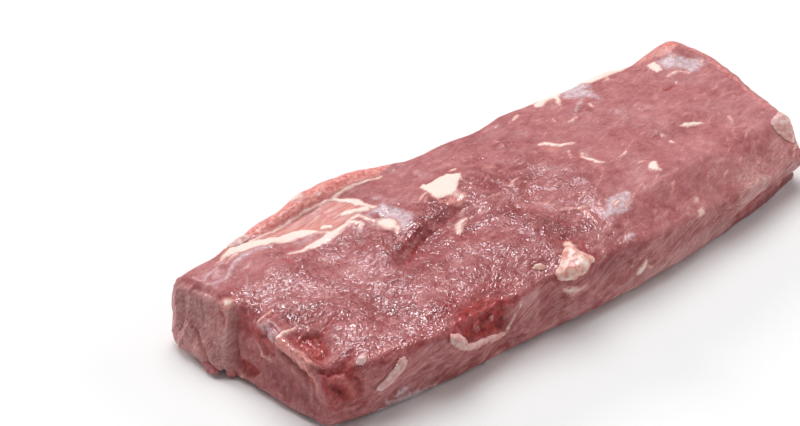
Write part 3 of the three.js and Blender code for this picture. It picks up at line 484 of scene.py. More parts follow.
# Right cut wall. Its dark marks are painted shade in the grooves, the pocket and under the
# overhang at the foot, and its big pale patches on the far and lower wall are painted light.
MARKS["side"] = [
    ("blood", 0.6, 2.4, -0.2, [(-103, 7.4), (-103.4, 21), (-98, 21.6), (-93, 19), (-90, 14), (-90.6, 8),
        (-96, 7)]),
    # The two grooves: deep red, partly painted shade, and dark in their bottoms as painted shade.
    ("blood", 0.9, 0.7, -1, [(-101.6, 16.4, 0.6), (-99.4, 14.6, 1.2), (-97.8, 12.4, 0.9), (-98.4, 10, 0.5)]),
    ("blood", 0.9, 0.7, -1.1, [(-95.6, 18.2, 0.6), (-93.6, 16.2, 1.1), (-92.4, 13.4, 0.8),
        (-92.8, 11.2, 0.4)]),
    ("salmon", 0.3, 0.6, 0.9, [(-98.4, 18.4, 0.8), (-96.2, 15.4, 1.2), (-95, 12, 1.2), (-95.4, 9.6, 0.6)]),
    ("salmon", 0.25, 0.6, 0.7, [(-102.6, 13.4, 0.6), (-101.4, 11, 1), (-100.6, 8.6, 0.6)]),
    ("dark", 0.8, 0.6, -0.5, [(-99.6, 14.6, 0.6), (-98, 12.4, 0.6)]),
    ("dark", 0.8, 0.6, -0.5, [(-94, 16.6, 0.5), (-92.8, 14, 0.6)]),
    ("salmon", 0.4, 0.5, 0.3, [(-100, 17, 0.5), (-97.6, 16.6, 0.8), (-96.6, 18, 0.6)]),
    ("fat", 0.4, 0.5, 0.1, [(-101.6, 7.2, 0.3), (-97, 7.1, 0.45), (-93, 7.5, 0.35), (-90, 7.9, 0.2)]),
    # The pocket: deep red, partly painted shade, with painted shade in its hollows.
    ("blood", 0.95, 1.6, -1.6, [(-57.6, 21), (-56.6, 16.4), (-54, 13.8), (-49, 13), (-44, 12.2), (-40, 11.2),
        (-38.6, 13), (-37.6, 16), (-37.8, 21)]),
    ("dark", 0.9, 0.5, -0.8, [(-56, 17.4, 0.5), (-54.6, 15.4, 0.9), (-52.4, 14.4, 0.7)]),
    ("dark", 0.9, 0.5, -0.8, [(-42, 14.4, 0.6), (-40.2, 13.4, 0.9), (-39.2, 15.8, 0.6)]),
    ("dark", 0.7, 0.4, -0.5, [(-47.4, 14.4, 0.4), (-46.4, 16.8, 0.6), (-46.8, 19, 0.4)]),
    ("salmon", 0.7, 0.5, 0.6, [(-50, 17.4, 0.9), (-48.6, 18, 0.8)]),
    ("salmon", 0.55, 0.6, 0.5, [(-46.4, 15.8, 0.6), (-43.6, 16.6, 0.7), (-41.6, 17.6, 0.5)]),
    ("blood", 0.6, 1.8, -0.1, [(-30, 21.4, 1), (-40, 21.2, 2), (-50, 21.8, 2.4), (-62, 21, 1.4)]),
    ("pale", 0.35, 1.2, 0.1, [(-33, 10.6), (-32.6, 17.6), (-29, 19.4), (-24, 18.8), (-22.6, 14), (-24, 11),
        (-29, 9.8)]),
    ("fat", 0.4, 0.5, 0.15, [(-48, 9.6, 0.2), (-42, 8, 0.35), (-37, 5.8, 0.3)]),
    ("fat", 0.3, 0.5, 0.1, [(-44, 10, 0.2), (-39, 8.2, 0.3), (-35.6, 6.6, 0.3)]),
    # Painted shade along a low dip near the foot.
    ("dark", 0.5, 1.4, -0.1, [(-66, 3.4, 1), (-56, 3.6, 1.2), (-48, 4.4, 0.8)]),
    ("film", 1, 0.3, 0.5, [(-80.4, 4.2), (-78, 5.6), (-74.6, 6.2), (-74.4, 4), (-78.8, 2.8)]),
    ("film", 1, 0.3, 0.5, [(-84, 4.8, 0.4), (-83, 3, 0.9), (-80, 2, 0.6), (-72, 2, 0.6), (-64, 1.6, 0.4)]),
    ("blood", 0.45, 1, -0.3, [(-21, 12, 0.8), (-20, 15, 1), (-18, 18, 1)]),
    ("fat", 0.55, 0.6, 0.5, [(-16, 16.4), (-14.4, 17.2), (-12, 16.9), (-9, 15.6), (-6.2, 15.2), (-5.8, 13.8),
        (-9, 13.2), (-12, 12.4), (-14.2, 13.8), (-15.2, 15)]),
    ("salmon", 0.6, 0.8, 0.3, [(-18.4, 19.6, 0.4), (-17, 17, 0.8), (-16, 15, 0.5)]),
    # Painted shade beside the flake of fat.
    ("dark", 0.55, 2.2, -0.1, [(-3, 18.6), (2, 19.4), (9, 19), (12, 16), (9, 12.6), (3, 11.6), (-2, 13)]),
    ("fat", 0.4, 0.5, 0.15, [(-1.4, 8.4, 0.3), (0, 6.8, 0.5), (1.4, 5.6, 0.3)]),
    ("fat", 0.4, 0.5, 0.15, [(7.2, 17.4, 0.4), (8.2, 16.6, 0.5)]),
    ("blood", 0.45, 0.9, -0.35, [(10, 8.6, 0.5), (14.6, 12, 0.7), (20, 15.8, 0.5)]),
    ("pale", 0.5, 0.5, 0.3, [(11.6, 11, 0.4), (15, 13.6, 0.5), (19, 16.6, 0.4)]),
    ("fat", 0.9, 0.5, 0.4, [(15, 8.6), (16, 7.7), (18, 8), (19.8, 9), (20.6, 11), (19.9, 12.4), (18.4, 10.7),
        (16, 10)]),
    ("fat", 0.8, 0.5, 0.35, [(20.4, 9.6), (21.6, 9.1), (22.9, 8.6), (22.4, 7.8), (20.9, 7.8)]),
    ("fat", 0.35, 0.6, 0.15, [(23, 10.6, 0.5), (26, 10, 0.6), (30, 9.2, 0.4)]),
    ("fat", 0.3, 0.6, 0.1, [(25, 11.8, 0.4), (28, 12.6, 0.5), (30, 14, 0.3)]),
    ("fat", 0.85, 0.6, 0.4, [(44.8, 16.3), (48, 15.7), (50.2, 17), (50.5, 18.9), (49.4, 19.5), (47.4, 18.6),
        (45.8, 17.6)]),
    ("fat", 0.55, 0.5, 0.3, [(40, 18.4, 0.4), (42, 18.8, 0.6), (43.8, 17.8, 0.7), (44.4, 16.8, 0.3)]),
    ("fat", 0.3, 0.5, 0.1, [(37, 17.4, 0.4), (38.4, 17.6, 0.4)]),
    ("blood", 0.35, 0.9, -0.3, [(43, 9, 0.4), (49, 11.6, 0.7), (55, 15.4, 0.5)]),
    # Painted shade along a low dip.
    ("dark", 0.4, 1, -0.1, [(46, 5, 0.5), (52, 5.6, 0.8), (57, 6, 0.4)]),
    # Painted light: the far part of the wall is made paler for the light it catches.
    ("pale", 1, 2.6, 0.3, [(63, 5), (64, 15), (70, 19), (78, 19), (86, 17), (82, 12), (75, 6.4)]),
    ("pale", 0.6, 2.4, 0, [(80, 17.6), (96, 17.6), (103, 10), (97, 7.4), (86, 8), (81, 13)]),
    # Painted shade in a crease on the far wall.
    ("dark", 0.7, 1.2, -0.3, [(77.6, 14.6, 0.6), (81, 11, 1), (86, 7, 1)]),
    ("blood", 0.8, 0.6, -0.6, [(64.6, 3.8, 0.4), (67, 3.6, 0.5), (70, 4.6, 0.5), (75, 5.2, 0.5),
        (80, 5.8, 0.5), (85, 6.2, 0.5), (90, 6, 0.4), (95, 5.6, 0.3)]),
    # Painted shade under the overhanging wall, at the foot.
    ("dark", 0.75, 1, -0.6, [(64, 0.2), (66, 2.4), (74, 4.2), (84, 5.2), (96, 5.4), (112, 8), (114, 0.2)]),
    ("salmon", 0.4, 1.2, 0, [(58, 18, 0.8), (62, 12, 1.4), (63, 7, 0.8)]),
    ("fat", 0.35, 0.5, 0.1, [(66, 19.3, 0.2), (70, 19.9, 0.3), (74, 19.9, 0.2)]),
    # Painted light: the lower and middle wall made paler, as if lit by light thrown back from below.
    ("pale", 0.7, 3, 0, [(8, 0.5), (10, 8), (30, 9.6), (60, 9.6), (66, 5), (64, 0.5)]),
    ("pale", 0.3, 4, 0, [(10, 9), (13, 18), (60, 18), (62, 9)]),
]
# Near end, cut across the grain. The meat left of the fold stands a little prouder and is painted
# paler, as painted light. Its raised ridges are painted lighter as painted highlights, and its
# creases, nooks and right part darker as painted shade.
MARKS["end"] = [
    # Painted light over the left part, which stands prouder.
    ("pale", 0.6, 0.4, 1.5, [(3.4, 0.3), (5.8, 3.6), (7.6, 8.6), (9, 12.8), (10, 16.6), (10.6, 21), (33, 22),
        (35, 4), (20, 0.3)]),
    # Painted highlight along the fold's edge, and painted shade on its right side.
    ("pale", 0.8, 0.4, 0.7, [(10.8, 20.6, 0.4), (10.4, 16, 0.6), (9.2, 12.6, 0.7), (7.8, 8.6, 0.7),
        (6, 4.4, 0.5)]),
    ("dark", 0.7, 0.6, -0.8, [(8.4, 19, 0.5), (7.8, 15.4, 0.7), (6.6, 12, 0.8), (5, 8, 0.8),
        (3.4, 4.4, 0.6)]),
    # Painted highlight along a ridge crest, and painted shade in deep red below it.
    ("pale", 0.8, 0.4, 1.3, [(25, 15.4, 0.3), (20.4, 12.2, 0.5), (15.8, 9, 0.6), (11.8, 5.6, 0.6),
        (8.6, 3.2, 0.5)]),
    ("blood", 0.45, 0.6, -1, [(24.4, 13.2, 0.4), (19.6, 10.2, 0.6), (15.2, 6.8, 0.7), (11.8, 3.6, 0.6)]),
    # Painted highlights on two ridges, and painted shade in the creases beside them.
    ("pale", 0.6, 0.4, 1, [(31, 20.6, 0.3), (29.6, 16, 0.5), (29, 10, 0.5), (30, 5, 0.3)]),
    ("pale", 0.6, 0.4, 1, [(26.6, 21, 0.3), (24.6, 17, 0.5), (23.4, 12.4, 0.4), (24, 7, 0.4),
        (25.6, 3, 0.3)]),
    ("dark", 0.5, 0.5, -0.8, [(28.4, 20, 0.4), (26.8, 14.6, 0.6), (26.4, 8.6, 0.5), (27.6, 4, 0.3)]),
    ("dark", 0.45, 0.5, -0.8, [(22.4, 21, 0.4), (20.8, 17.4, 0.5), (18.6, 13.6, 0.4)]),
    ("salmon", 0.9, 0.45, 0.6, [(-10.2, 19.6), (-10.4, 21.9), (-14, 22.8), (-18.5, 22.4), (-19.2, 19.7),
        (-15, 18.7), (-12.4, 19.4)]),
    ("salmon", 0.95, 0.45, 0.8, [(-17.6, 20), (-17.8, 22.4), (-23, 22), (-26.6, 21.2), (-27.6, 19.2),
        (-25.4, 19.4), (-23.4, 18.4), (-20.4, 19.8)]),
    ("salmon", 1, 0.45, 0.8, [(-26.6, 19.6, 0.7), (-28.2, 17.6, 0.9), (-29.4, 15.4, 0.7),
        (-29.8, 13.4, 0.4)]),
    ("fat", 0.8, 0.35, 0.4, [(-10.6, 20, 0.5), (-13, 19.6, 0.25), (-15, 19.2, 0.3), (-18.5, 20, 0.3),
        (-21, 19.4, 0.3), (-23.6, 18.6, 0.25), (-26.4, 18.9, 0.5), (-28.4, 16.6, 0.3)]),
    # Painted shade in the nooks under the rim.
    ("dark", 0.85, 0.5, -1.3, [(-11.4, 17.3, 0.5), (-15, 16.7, 0.8), (-20, 16.7, 1), (-23.4, 16, 0.8),
        (-26.4, 16.5, 0.7)]),
    ("blood", 0.55, 1, -0.6, [(-27.8, 17.6), (-22.6, 17.4), (-21.6, 14.6), (-25, 12.4), (-28.4, 13.4)]),
    ("film", 1, 0.5, 0.8, [(-9.6, 21.6), (-8, 22.2), (-6.2, 21.2), (-6.2, 19.6), (-8.6, 19.2)]),
    ("film", 0.9, 0.5, 0.7, [(-4.6, 22.8, 0.5), (-3, 21.6, 0.7), (-1, 21.2, 0.6)]),
    # Painted shade under the film.
    ("dark", 0.7, 0.5, -0.9, [(-5.4, 21.4, 0.5), (-5, 19.4, 0.9), (-3, 18, 0.6)]),
    ("pale", 0.9, 0.35, 0.6, [(-25.6, 17, 0.4), (-26, 14.6, 0.5), (-27.2, 12.1, 0.45), (-27, 9.8, 0.35),
        (-27.3, 7.6, 0.3)]),
    ("pale", 0.9, 0.35, 0.6, [(-22.2, 17.4, 0.4), (-22.8, 15, 0.5), (-23.7, 12.8, 0.4),
        (-23.2, 11.4, 0.25)]),
    ("fat", 0.6, 0.35, 0.6, [(-1.4, 15.8, 0.3), (-3.4, 13.8, 0.35), (-4.4, 12.5, 0.4), (-7, 12.1, 0.4),
        (-8.8, 12.6, 0.25)]),
    ("blood", 0.65, 0.6, -0.7, [(-9, 14.8, 0.8), (-6, 14.6, 1.2), (-3.6, 16, 0.8)]),
    ("blood", 0.55, 1.2, -0.3, [(-10, 15.6), (-10, 20.6), (-1, 20.8), (8.6, 21.6), (9, 17), (6.6, 14.6),
        (0, 15)]),
    ("blood", 0.8, 1, -0.3, [(-37, 8), (-36, 21.6), (-31.4, 22), (-31, 15.4), (-33, 12), (-33.6, 7)]),
    ("blood", 0.75, 0.6, -1.3, [(4, 7.4), (0.6, 8.4), (-2, 7.6), (-5, 7.2), (-3.6, 4.2), (-0.4, 3),
        (2.8, 4.6)]),
    ("salmon", 0.4, 0.4, 0.5, [(-0.6, 7.4, 0.3), (0.6, 5.4, 0.4), (-0.4, 3.6, 0.3)]),
    ("fat", 0.7, 0.4, 0.4, [(10.6, 21.8), (12, 22.7), (13.6, 22.6), (15.6, 22), (15, 20.9), (12.4, 20.6)]),
    ("blood", 0.75, 0.6, -0.6, [(15.4, 20, 0.5), (14.6, 18.6, 0.9), (12.4, 17.4, 1), (11.8, 15, 0.6)]),
    ("blood", 0.4, 1, -0.1, [(17.6, 20.6, 0.8), (16.6, 16.4, 1), (14.6, 12.4, 0.6)]),
    ("fat", 0.8, 0.4, 0.6, [(1.2, 3.4, 0.4), (2.1, 1.7, 0.6), (3.8, 0.2, 0.4)]),
    # Painted shade in the hollow and creases near the foot.
    ("dark", 1, 0.6, -1.6, [(5.4, 2, 0.7), (7.4, 1.6, 1.2), (9.6, 2, 0.9)]),
    ("dark", 0.5, 0.6, -0.5, [(15.6, 4.6, 0.3), (17.4, 2.6, 0.5), (19, 0.8, 0.3)]),
    ("dark", 0.4, 0.6, -0.4, [(19.6, 4, 0.3), (21.6, 2.2, 0.4), (23.4, 0.8, 0.3)]),
    ("pale", 0.5, 1, 0.2, [(-28, 3.4, 0.6), (-22, 2.2, 1.2), (-16, 2, 1.2), (-10, 2.4, 0.6)]),
    # Painted shade at the right edge and over the right part.
    ("dark", 0.5, 1, -0.4, [(31, 22, 0.8), (32.4, 18.6, 1.3), (33, 14.4, 0.8)]),
    ("dark", 0.45, 2.5, -0.3, [(-30, 3), (-27, 15), (-12, 14.6), (-3, 9), (1, 3)]),
]
# Pale dabs strewn along the strip muscle, then flecks of fat on the far half, leaning with the grain.
STRIP_DABS = 16
FLECKS = 34
dice = np.random.default_rng(23)
for along in dice.uniform(0, 1, STRIP_DABS):
    x = -79 + 52 * along + dice.uniform(-2, 2)
    y = 37 + 8 * along * (2 - 1.9 * along) + dice.uniform(-1.6, 1.6)
    long, thin = dice.uniform((0.6, 0.25), (1.8, 0.6))
    line = [(x - long, y, thin), (x + long, y + 0.3 * long, thin)]
    MARKS["top"].append(("fat", dice.uniform(0.3, 0.7), 0.4, 0.2, line))
STREWN = (("top", (16, -36), (104, -16), 0.6), ("side", (12, 3.5), (102, 18), 0.5))
for side, lowest, highest, slope in STREWN:
    for x, across in dice.uniform(lowest, highest, (FLECKS, 2)):
        long, thin, lean = dice.uniform((1.2, 0.12, slope - 0.15), (3.2, 0.4, slope + 0.15))
        line = [(x + t * long, across + t * long * lean, thin * (1 - 0.6 * t * t)) for t in (-1, 0, 1)]
        MARKS[side].append(("fat", dice.uniform(0.35, 0.75), 0.22, 0.12, line))

cover = {kind: np.zeros(len(place)) for kind in ("fat", "film", "salmon", "blood", "pale", "dark", "strip")}
lift = np.zeros(len(place))
for side, (flat, shown) in seen_from.items():
    for kind, strength, edge, height, points in MARKS[side]:
        soft = edge * (1.5 if kind in ("fat", "film") else 1.0)
        share = ramp(-1.3 * soft, 2.1 * soft, depth_in(flat, points)) * shown
        lift += height * share
        if kind == "meat":
            for other in ("fat", "film", "salmon"):
                cover[other] *= 1 - share
        else:
            cover[kind] = np.maximum(cover[kind], strength * share)

up = ramp(0.3, 0.7, facing[:, 2])
under = ramp(0.3, 0.7, -facing[:, 2])
ends = ramp(0.4, 0.8, abs(facing[:, 0]))
# Where torn membrane holds a film of juice, as (x, y, half length, half width, how wet).
WET_ZONES = [
    (-100, 4.5, 4, 5, 0.8), (-93, -6, 6, 8, 1.0), (-85, -9, 6, 5, 0.8), (-99, -20, 5, 9, 0.9),
    (-79, -20, 8, 6, 0.6), (-67, -27, 7, 8, 1.0), (-54, -32, 10, 4, 1.0), (-62, 13, 6, 5, 0.7),
    (-53, 11, 5, 5, 0.7), (-47, 5.5, 4, 4, 1.0), (-49, -1, 6, 3, 1.0), (-38, 3, 7, 4, 1.1),
    (-28, 6, 6, 4, 1.1), (-38, 14, 5, 5, 0.7), (-23, 9.5, 4.5, 2.5, 1.1), (-21.5, -5.5, 3, 2, 0.9),
    (-15, -5.5, 3, 2, 0.8), (-39, -24, 4, 6, 0.6), (-33, -32, 5, 3, 0.7), (-27, -12, 3, 7, 0.6),
    (-6, -13, 6, 9, 0.9), (-2, -24, 6, 7, 1.1), (7, -28, 5, 4, 1.0), (16, -8, 4, 4, 0.5),
    (18, 23, 4, 3, 0.4), (4, 22, 5, 3, 0.4), (52, 21, 3, 3, 0.5), (-78, 23, 4, 3, 0.6),
    (-88, -28, 7, 6, 0.7), (-73, 3, 9, 6, 0.35), (-14, -34, 6, 3, 0.4),
]
wet = 0.42 * ramp(36, 0, place[:, 0]) * ramp(22, 12, place[:, 1])
for x, y, long, wide, much in WET_ZONES:
    away = np.hypot((marked[:, 0] - x) / long, (marked[:, 1] - y) / wide)
    wet = np.maximum(wet, much * ramp(1.5, 0.5, away + 0.25 * lumps(place, 3.0, 51)))
wet *= up * (0.72 + 0.4 * lumps(place, 2.6, 52))
wet = np.clip(wet, 0, 1)
rugged = up * (0.18 + 0.82 * ramp(42, 4, place[:, 0])) * (1 - 0.7 * ramp(9, 22, place[:, 1]))
bare = 1 - np.clip(cover["fat"] + cover["film"] + 0.6 * cover["strip"], 0, 1)

# How far the surface stands out or is sunk, in mm.
PLATES_OUT = 0.15
CRACKS_IN = 0.26
FIBRES_ON_TOP = 0.03
FIBRES_ON_WALLS = 0.16
swirl = place + np.stack([lumps(place, 8.0, s) * 2.6 for s in (31, 32, 33)], axis=1)
cracks = np.exp(-(lumps(drawn_out(swirl, LONG_WAY, 2.3), 2.5, 21) / 0.12) ** 2)
cracks *= ramp(-0.35, 0.35, lumps(place, 9.0, 22))
plates = lumps(drawn_out(swirl, LONG_WAY, 1.7), 1.9, 23)
fibres = lumps(drawn_out(place + 0.3 * wobble, FIBRE, 12.0), 2.0, 24)
lift += bare * rugged * (PLATES_OUT * plates - CRACKS_IN * cracks)
lift += (FIBRES_ON_TOP + FIBRES_ON_WALLS * (1 - up)) * fibres * bare * (1 - ends)
for where, scale, way, stretch, size, seed in (
    (1 - under, 0.38, LONG_WAY, 1.0, 10.0, 25),
    (1 - under, 0.2, LONG_WAY, 1.0, 5.0, 26),
    (ends, 0.5, DOWN, 3.5, 4.5, 28),
    (ends, 0.2, DOWN, 4.0, 1.9, 27),
    (cover["blood"], 0.5, LONG_WAY, 1.0, 1.8, 53),
    (cover["blood"], 0.35, LONG_WAY, 1.0, 1.0, 54),
):
    lift += where * scale * lumps(drawn_out(place, way, stretch), size, seed)
lift *= ramp(0.0, 2.5, place[:, 2])
place += facing * lift[:, None]
place[:, 2] = np.maximum(place[:, 2], SKIN_THICK)
mesh.vertices.foreach_set("co", (place * MM).ravel())

values_at = cover | {
    "wet": wet,
    "tone": 0.5 * lumps(place, 14.0, 41) + 0.35 * lumps(place, 6.0, 42) + 0.25 * lumps(place, 2.8, 43),
    # Pit darkens the colour in the cracks and on the low plates: painted shade there, in a deeper red.
    "pit": bare * rugged * (0.75 * cracks + 0.5 * np.clip(-plates, 0, 1)),
    "wall": (1 - up) * (1 - 0.6 * ends),
    "rugged": bare * rugged,
}
for name, values in values_at.items():
    mesh.attributes.new(name, "FLOAT", "POINT").data.foreach_set("value", values)

# Raw lamb is dark pink, slightly see-through and moist. Bone side up it is torn membrane over wet
# muscle, so it shines in specks; the knife-cut ends are duller and show the grain end on.
MULTIPLY = {"operation": "MULTIPLY"}
MULTIPLY_ADD = {"operation": "MULTIPLY_ADD"}
MIX_COLOUR = {"data_type": "RGBA"}
raw = bpy.data.materials.new("raw_lamb_muscle")
raw.use_nodes = True
tree = raw.node_tree
shader = tree.nodes["Principled BSDF"]
spot = add(tree, "ShaderNodeTexCoord", output="Object")
held = {name: add(tree, "ShaderNodeAttribute", {"attribute_name": name}, output="Fac") for name in values_at}

# The grains of the flesh: size in mm, how many times longer along the turned X axis, the turn,
# detail, roughness and distortion. Real fibres are near 0.05 mm; they are drawn coarser to show.
FIBRE_TURN = (0.0, -math.asin(FIBRE[2]), math.atan2(FIBRE[1], FIBRE[0]))
GRAINS = {
    "fine": (0.5, 1.6, (0.0, 0.0, 0.2), 2.0, 0.7, 0.3),
    "middling": (1.3, 1.0, (0.0, 0.0, 0.0), 3.0, 0.6, 0.0),
    "broad": (4.0, 1.0, (0.0, 0.0, 0.0), 3.0, 0.6, 0.0),
    "strands": (0.7, 16.0, FIBRE_TURN, 3.0, 0.6, 0.0),
    "bundles": (2.0, 6.0, FIBRE_TURN, 2.0, 0.6, 0.4),
    "long_strands": (0.8, 14.0, (0.0, 0.0, 0.08), 3.0, 0.6, 0.0),
    "swell": (2.3, 1.0, (0.0, 0.0, 0.0), 1.0, 0.4, 0.0),
    "pebbles": (0.66, 1.4, (0.0, 0.0, 0.35), 0.4, 0.5, 0.4),
    "folds": (4.2, 1.9, (0.0, 0.0, 0.3), 2.0, 0.45, 0.5),
}
grain = {}
for name, (size, stretch, turn, detail, roughness, distortion) in GRAINS.items():
    placing = {"Vector": spot, "Rotation": turn, "Scale": (size * stretch * MM, size * MM, size * MM)}
    cells = add(tree, "ShaderNodeMapping", {"vector_type": "TEXTURE"}, placing)
    pattern = {"Vector": cells, "Scale": 1.0, "Detail": detail}
    pattern |= {"Roughness": roughness, "Distortion": distortion}
    grain[name] = add(tree, "ShaderNodeTexNoise", None, pattern)

# Thin dark folds run along the middle of one broad grain, and break off where another is low.
# Their darkness is painted shade in fine creases that the bump sinks only a little.
fold = add(tree, "ShaderNodeMath", {"operation": "SUBTRACT"}, {0: grain["folds"], 1: 0.5})
fold = add(tree, "ShaderNodeMath", {"operation": "ABSOLUTE"}, {0: fold})
band = {"Value": fold, "From Min": 0.003, "From Max": 0.018, "To Min": 1.0, "To Max": 0.0}
fold = add(tree, "ShaderNodeMapRange", None, band)
broken = add(tree, "ShaderNodeMapRange", None, {"Value": grain["broad"], "From Min": 0.47, "From Max": 0.6})
fold = add(tree, "ShaderNodeMath", MULTIPLY, {0: fold, 1: broken})
fold = add(tree, "ShaderNodeMath", MULTIPLY, {0: fold, 1: held["rugged"]})

# Torn membrane is wet in patches, and its pebbles flash there in small specks under the lamp.
patches = {"Value": grain["swell"], "From Min": 0.28, "From Max": 0.52}
torn = add(tree, "ShaderNodeMapRange", {"interpolation_type": "SMOOTHSTEP"}, patches)
torn = add(tree, "ShaderNodeMath", MULTIPLY, {0: torn, 1: held["wet"]})

# How light the flesh is: its tone, with each grain's share on dry meat, on wet meat and on the walls.
light = add(tree, "ShaderNodeMath", MULTIPLY_ADD, {0: held["tone"], 1: 0.2, 2: 0.5})
# On wet meat the large shares of the fine grain and the pebbles speckle the colour: its pale specks are
# painted glints, beside the real ones that the speck lamp makes.
for name, dry, soaked, on_wall in (
    ("fine", 0.25, 1.1, 0.25),
    ("middling", 0.3, 0.5, 0.35),
    ("broad", 0.4, 0.3, 0.7),
    ("strands", 0.22, 0.2, 0.55),
    ("bundles", 0.3, 0.2, 0.8),
    ("pebbles", 0.0, 0.8, 0.0),
):
    much = add(tree, "ShaderNodeMath", MULTIPLY_ADD, {0: held["wet"], 1: soaked - dry, 2: dry})
    much = add(tree, "ShaderNodeMath", MULTIPLY_ADD, {0: held["wall"], 1: on_wall - dry, 2: much})
    signed = add(tree, "ShaderNodeMath", {"operation": "SUBTRACT"}, {0: grain[name], 1: 0.5})
    light = add(tree, "ShaderNodeMath", MULTIPLY_ADD, {0: signed, 1: much, 2: light})
light = add(tree, "ShaderNodeMath", MULTIPLY_ADD, {0: torn, 1: -0.42, 2: light})
# Painted shade: the folds darken the flesh here and turn it deeper red below.
light = add(tree, "ShaderNodeMath", MULTIPLY_ADD, {0: fold, 1: -0.25, 2: light})
colour = linear("#7f3537")
for low, high, hex_colour in (
    (0.1, 0.34, "#a35b5c"),
    (0.34, 0.55, "#bc7879"),
    (0.55, 0.74, "#cc9291"),
    (0.74, 1.0, "#e0b6b4"),
):
    share = add(tree, "ShaderNodeMapRange", None, {"Value": light, "From Min": low, "From Max": high})
    colour = add(tree, "ShaderNodeMix", MIX_COLOUR, {0: share, 6: colour, 7: linear(hex_colour)}, 2)
share = add(tree, "ShaderNodeMath", MULTIPLY, {0: fold, 1: 0.55})
colour = add(tree, "ShaderNodeMix", MIX_COLOUR, {0: share, 6: colour, 7: linear("#9c3a3d")}, 2)

# Sparse pale strands of membrane lie along the grain.
sparse = {"Value": grain["bundles"], "From Min": 0.6, "From Max": 0.7, "To Max": 0.4}
wisps = add(tree, "ShaderNodeMapRange", None, sparse)
colour = add(tree, "ShaderNodeMix", MIX_COLOUR, {0: wisps, 6: colour, 7: linear("#d3a09b")}, 2)

# What lies over the flesh: how much of it shows, the grain in it, and its colour where that grain
# is low and where it is high.
for name, most, pattern, low, high in (
    # Pale: partly paler meat, partly painted light on the walls and the near end.
    ("pale", 0.8, "strands", "#bb7d7b", "#e6c2bd"),
    # Pit: painted shade in the cracks and low plates.
    ("pit", 0.8, "fine", "#7f2a2c", "#a04445"),
    # Deep red: the meat's own dark red, and partly painted shade in the creases and hollows it lies in.
    ("blood", 0.85, "middling", "#84191c", "#c54845"),
    # Dark: painted shade.
    ("dark", 0.75, "strands", "#6b2f31", "#84494b"),
    ("salmon", 0.85, "long_strands", "#cf6c68", "#eeb6aa"),
    ("strip", 1.0, "middling", "#cd5f5c", "#f0b0a6"),
    ("film", 0.85, "middling", "#c39da6", "#e8d8dd"),
):
    along = {"Value": grain[pattern], "From Min": 0.32, "From Max": 0.68}
    along = add(tree, "ShaderNodeMapRange", None, along)
    tint = add(tree, "ShaderNodeMix", MIX_COLOUR, {0: along, 6: linear(low), 7: linear(high)}, 2)
    share = add(tree, "ShaderNodeMath", MULTIPLY_ADD, {0: grain["fine"], 1: 0.9, 2: 0.05})
    share = add(tree, "ShaderNodeMath", MULTIPLY_ADD, {0: grain["middling"], 1: 1.0, 2: share})
    share = add(tree, "ShaderNodeMath", MULTIPLY, {0: held[name], 1: share})
    reach = {"Value": share, "From Min": 0.08, "From Max": 0.85, "To Max": most}
    share = add(tree, "ShaderNodeMapRange", None, reach)
    colour = add(tree, "ShaderNodeMix", MIX_COLOUR, {0: share, 6: colour, 7: tint}, 2)

# Fat: salmon where it is thin and frayed, pale pink and then cream where it is thick.
frayed = add(tree, "ShaderNodeMath", MULTIPLY_ADD, {0: grain["fine"], 1: 0.7, 2: -0.95})
frayed = add(tree, "ShaderNodeMath", MULTIPLY_ADD, {0: grain["long_strands"], 1: 1.3, 2: frayed})
edging = add(tree, "ShaderNodeMapRange", None, {"Value": held["fat"], "From Max": 0.3})
frayed = add(tree, "ShaderNodeMath", MULTIPLY, {0: frayed, 1: edging})
thick = add(tree, "ShaderNodeMath", MULTIPLY_ADD, {0: held["fat"], 1: 1.3, 2: frayed})
for low, high, hex_colour in (
    (0.1, 0.4, "#c98580"),
    (0.3, 0.6, "#dca8a0"),
    (0.5, 0.85, "#ecc9be"),
    (0.75, 1.0, "#f7e2d8"),
):
    share = add(tree, "ShaderNodeMapRange", None, {"Value": thick, "From Min": low, "From Max": high})
    colour = add(tree, "ShaderNodeMix", MIX_COLOUR, {0: share, 6: colour, 7: linear(hex_colour)}, 2)
juice = add(tree, "ShaderNodeMath", MULTIPLY_ADD, {0: torn, 1: 0.92, 2: 0.08})
tree.links.new(colour, shader.inputs["Base Color"])
tree.links.new(juice, shader.inputs["Coat Weight"])
for socket, value in (
    ("Roughness", 0.45),
    ("IOR", 1.4),
    ("Specular IOR Level", 0.12),
    ("Subsurface Weight", 0.15),
    ("Subsurface Radius", (1.0, 0.32, 0.22)),
    ("Subsurface Scale", 1.2 * MM),
    ("Coat Roughness", 0.07),
    ("Coat IOR", 1.5),
):
    shader.inputs[socket].default_value = value

# Relief in mm, again on dry meat, on wet meat and on the walls.
FOLD_DEPTH = 0.1
relief = 0.0
for name, dry, soaked, on_wall in (
    ("fine", 0.03, 0.05, 0.03),
    ("middling", 0.08, 0.06, 0.1),
    ("strands", 0.03, 0.03, 0.08),
    ("bundles", 0.08, 0.0, 0.2),
    ("pebbles", 0.08, 0.5, 0.05),
):
    much = add(tree, "ShaderNodeMath", MULTIPLY_ADD, {0: held["wet"], 1: soaked - dry, 2: dry})
    much = add(tree, "ShaderNodeMath", MULTIPLY_ADD, {0: held["wall"], 1: on_wall - dry, 2: much})
    relief = add(tree, "ShaderNodeMath", MULTIPLY_ADD, {0: grain[name], 1: much, 2: relief})
relief = add(tree, "ShaderNodeMath", MULTIPLY_ADD, {0: fold, 1: -FOLD_DEPTH, 2: relief})
bump = add(tree, "ShaderNodeBump", None, {"Height": relief, "Distance": MM, "Strength": 1.0})
tree.links.new(bump, shader.inputs["Normal"])
tree.links.new(bump, shader.inputs["Coat Normal"])
mesh.materials.clear()
mesh.materials.append(raw)
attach(body, "root")
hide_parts("fillet")

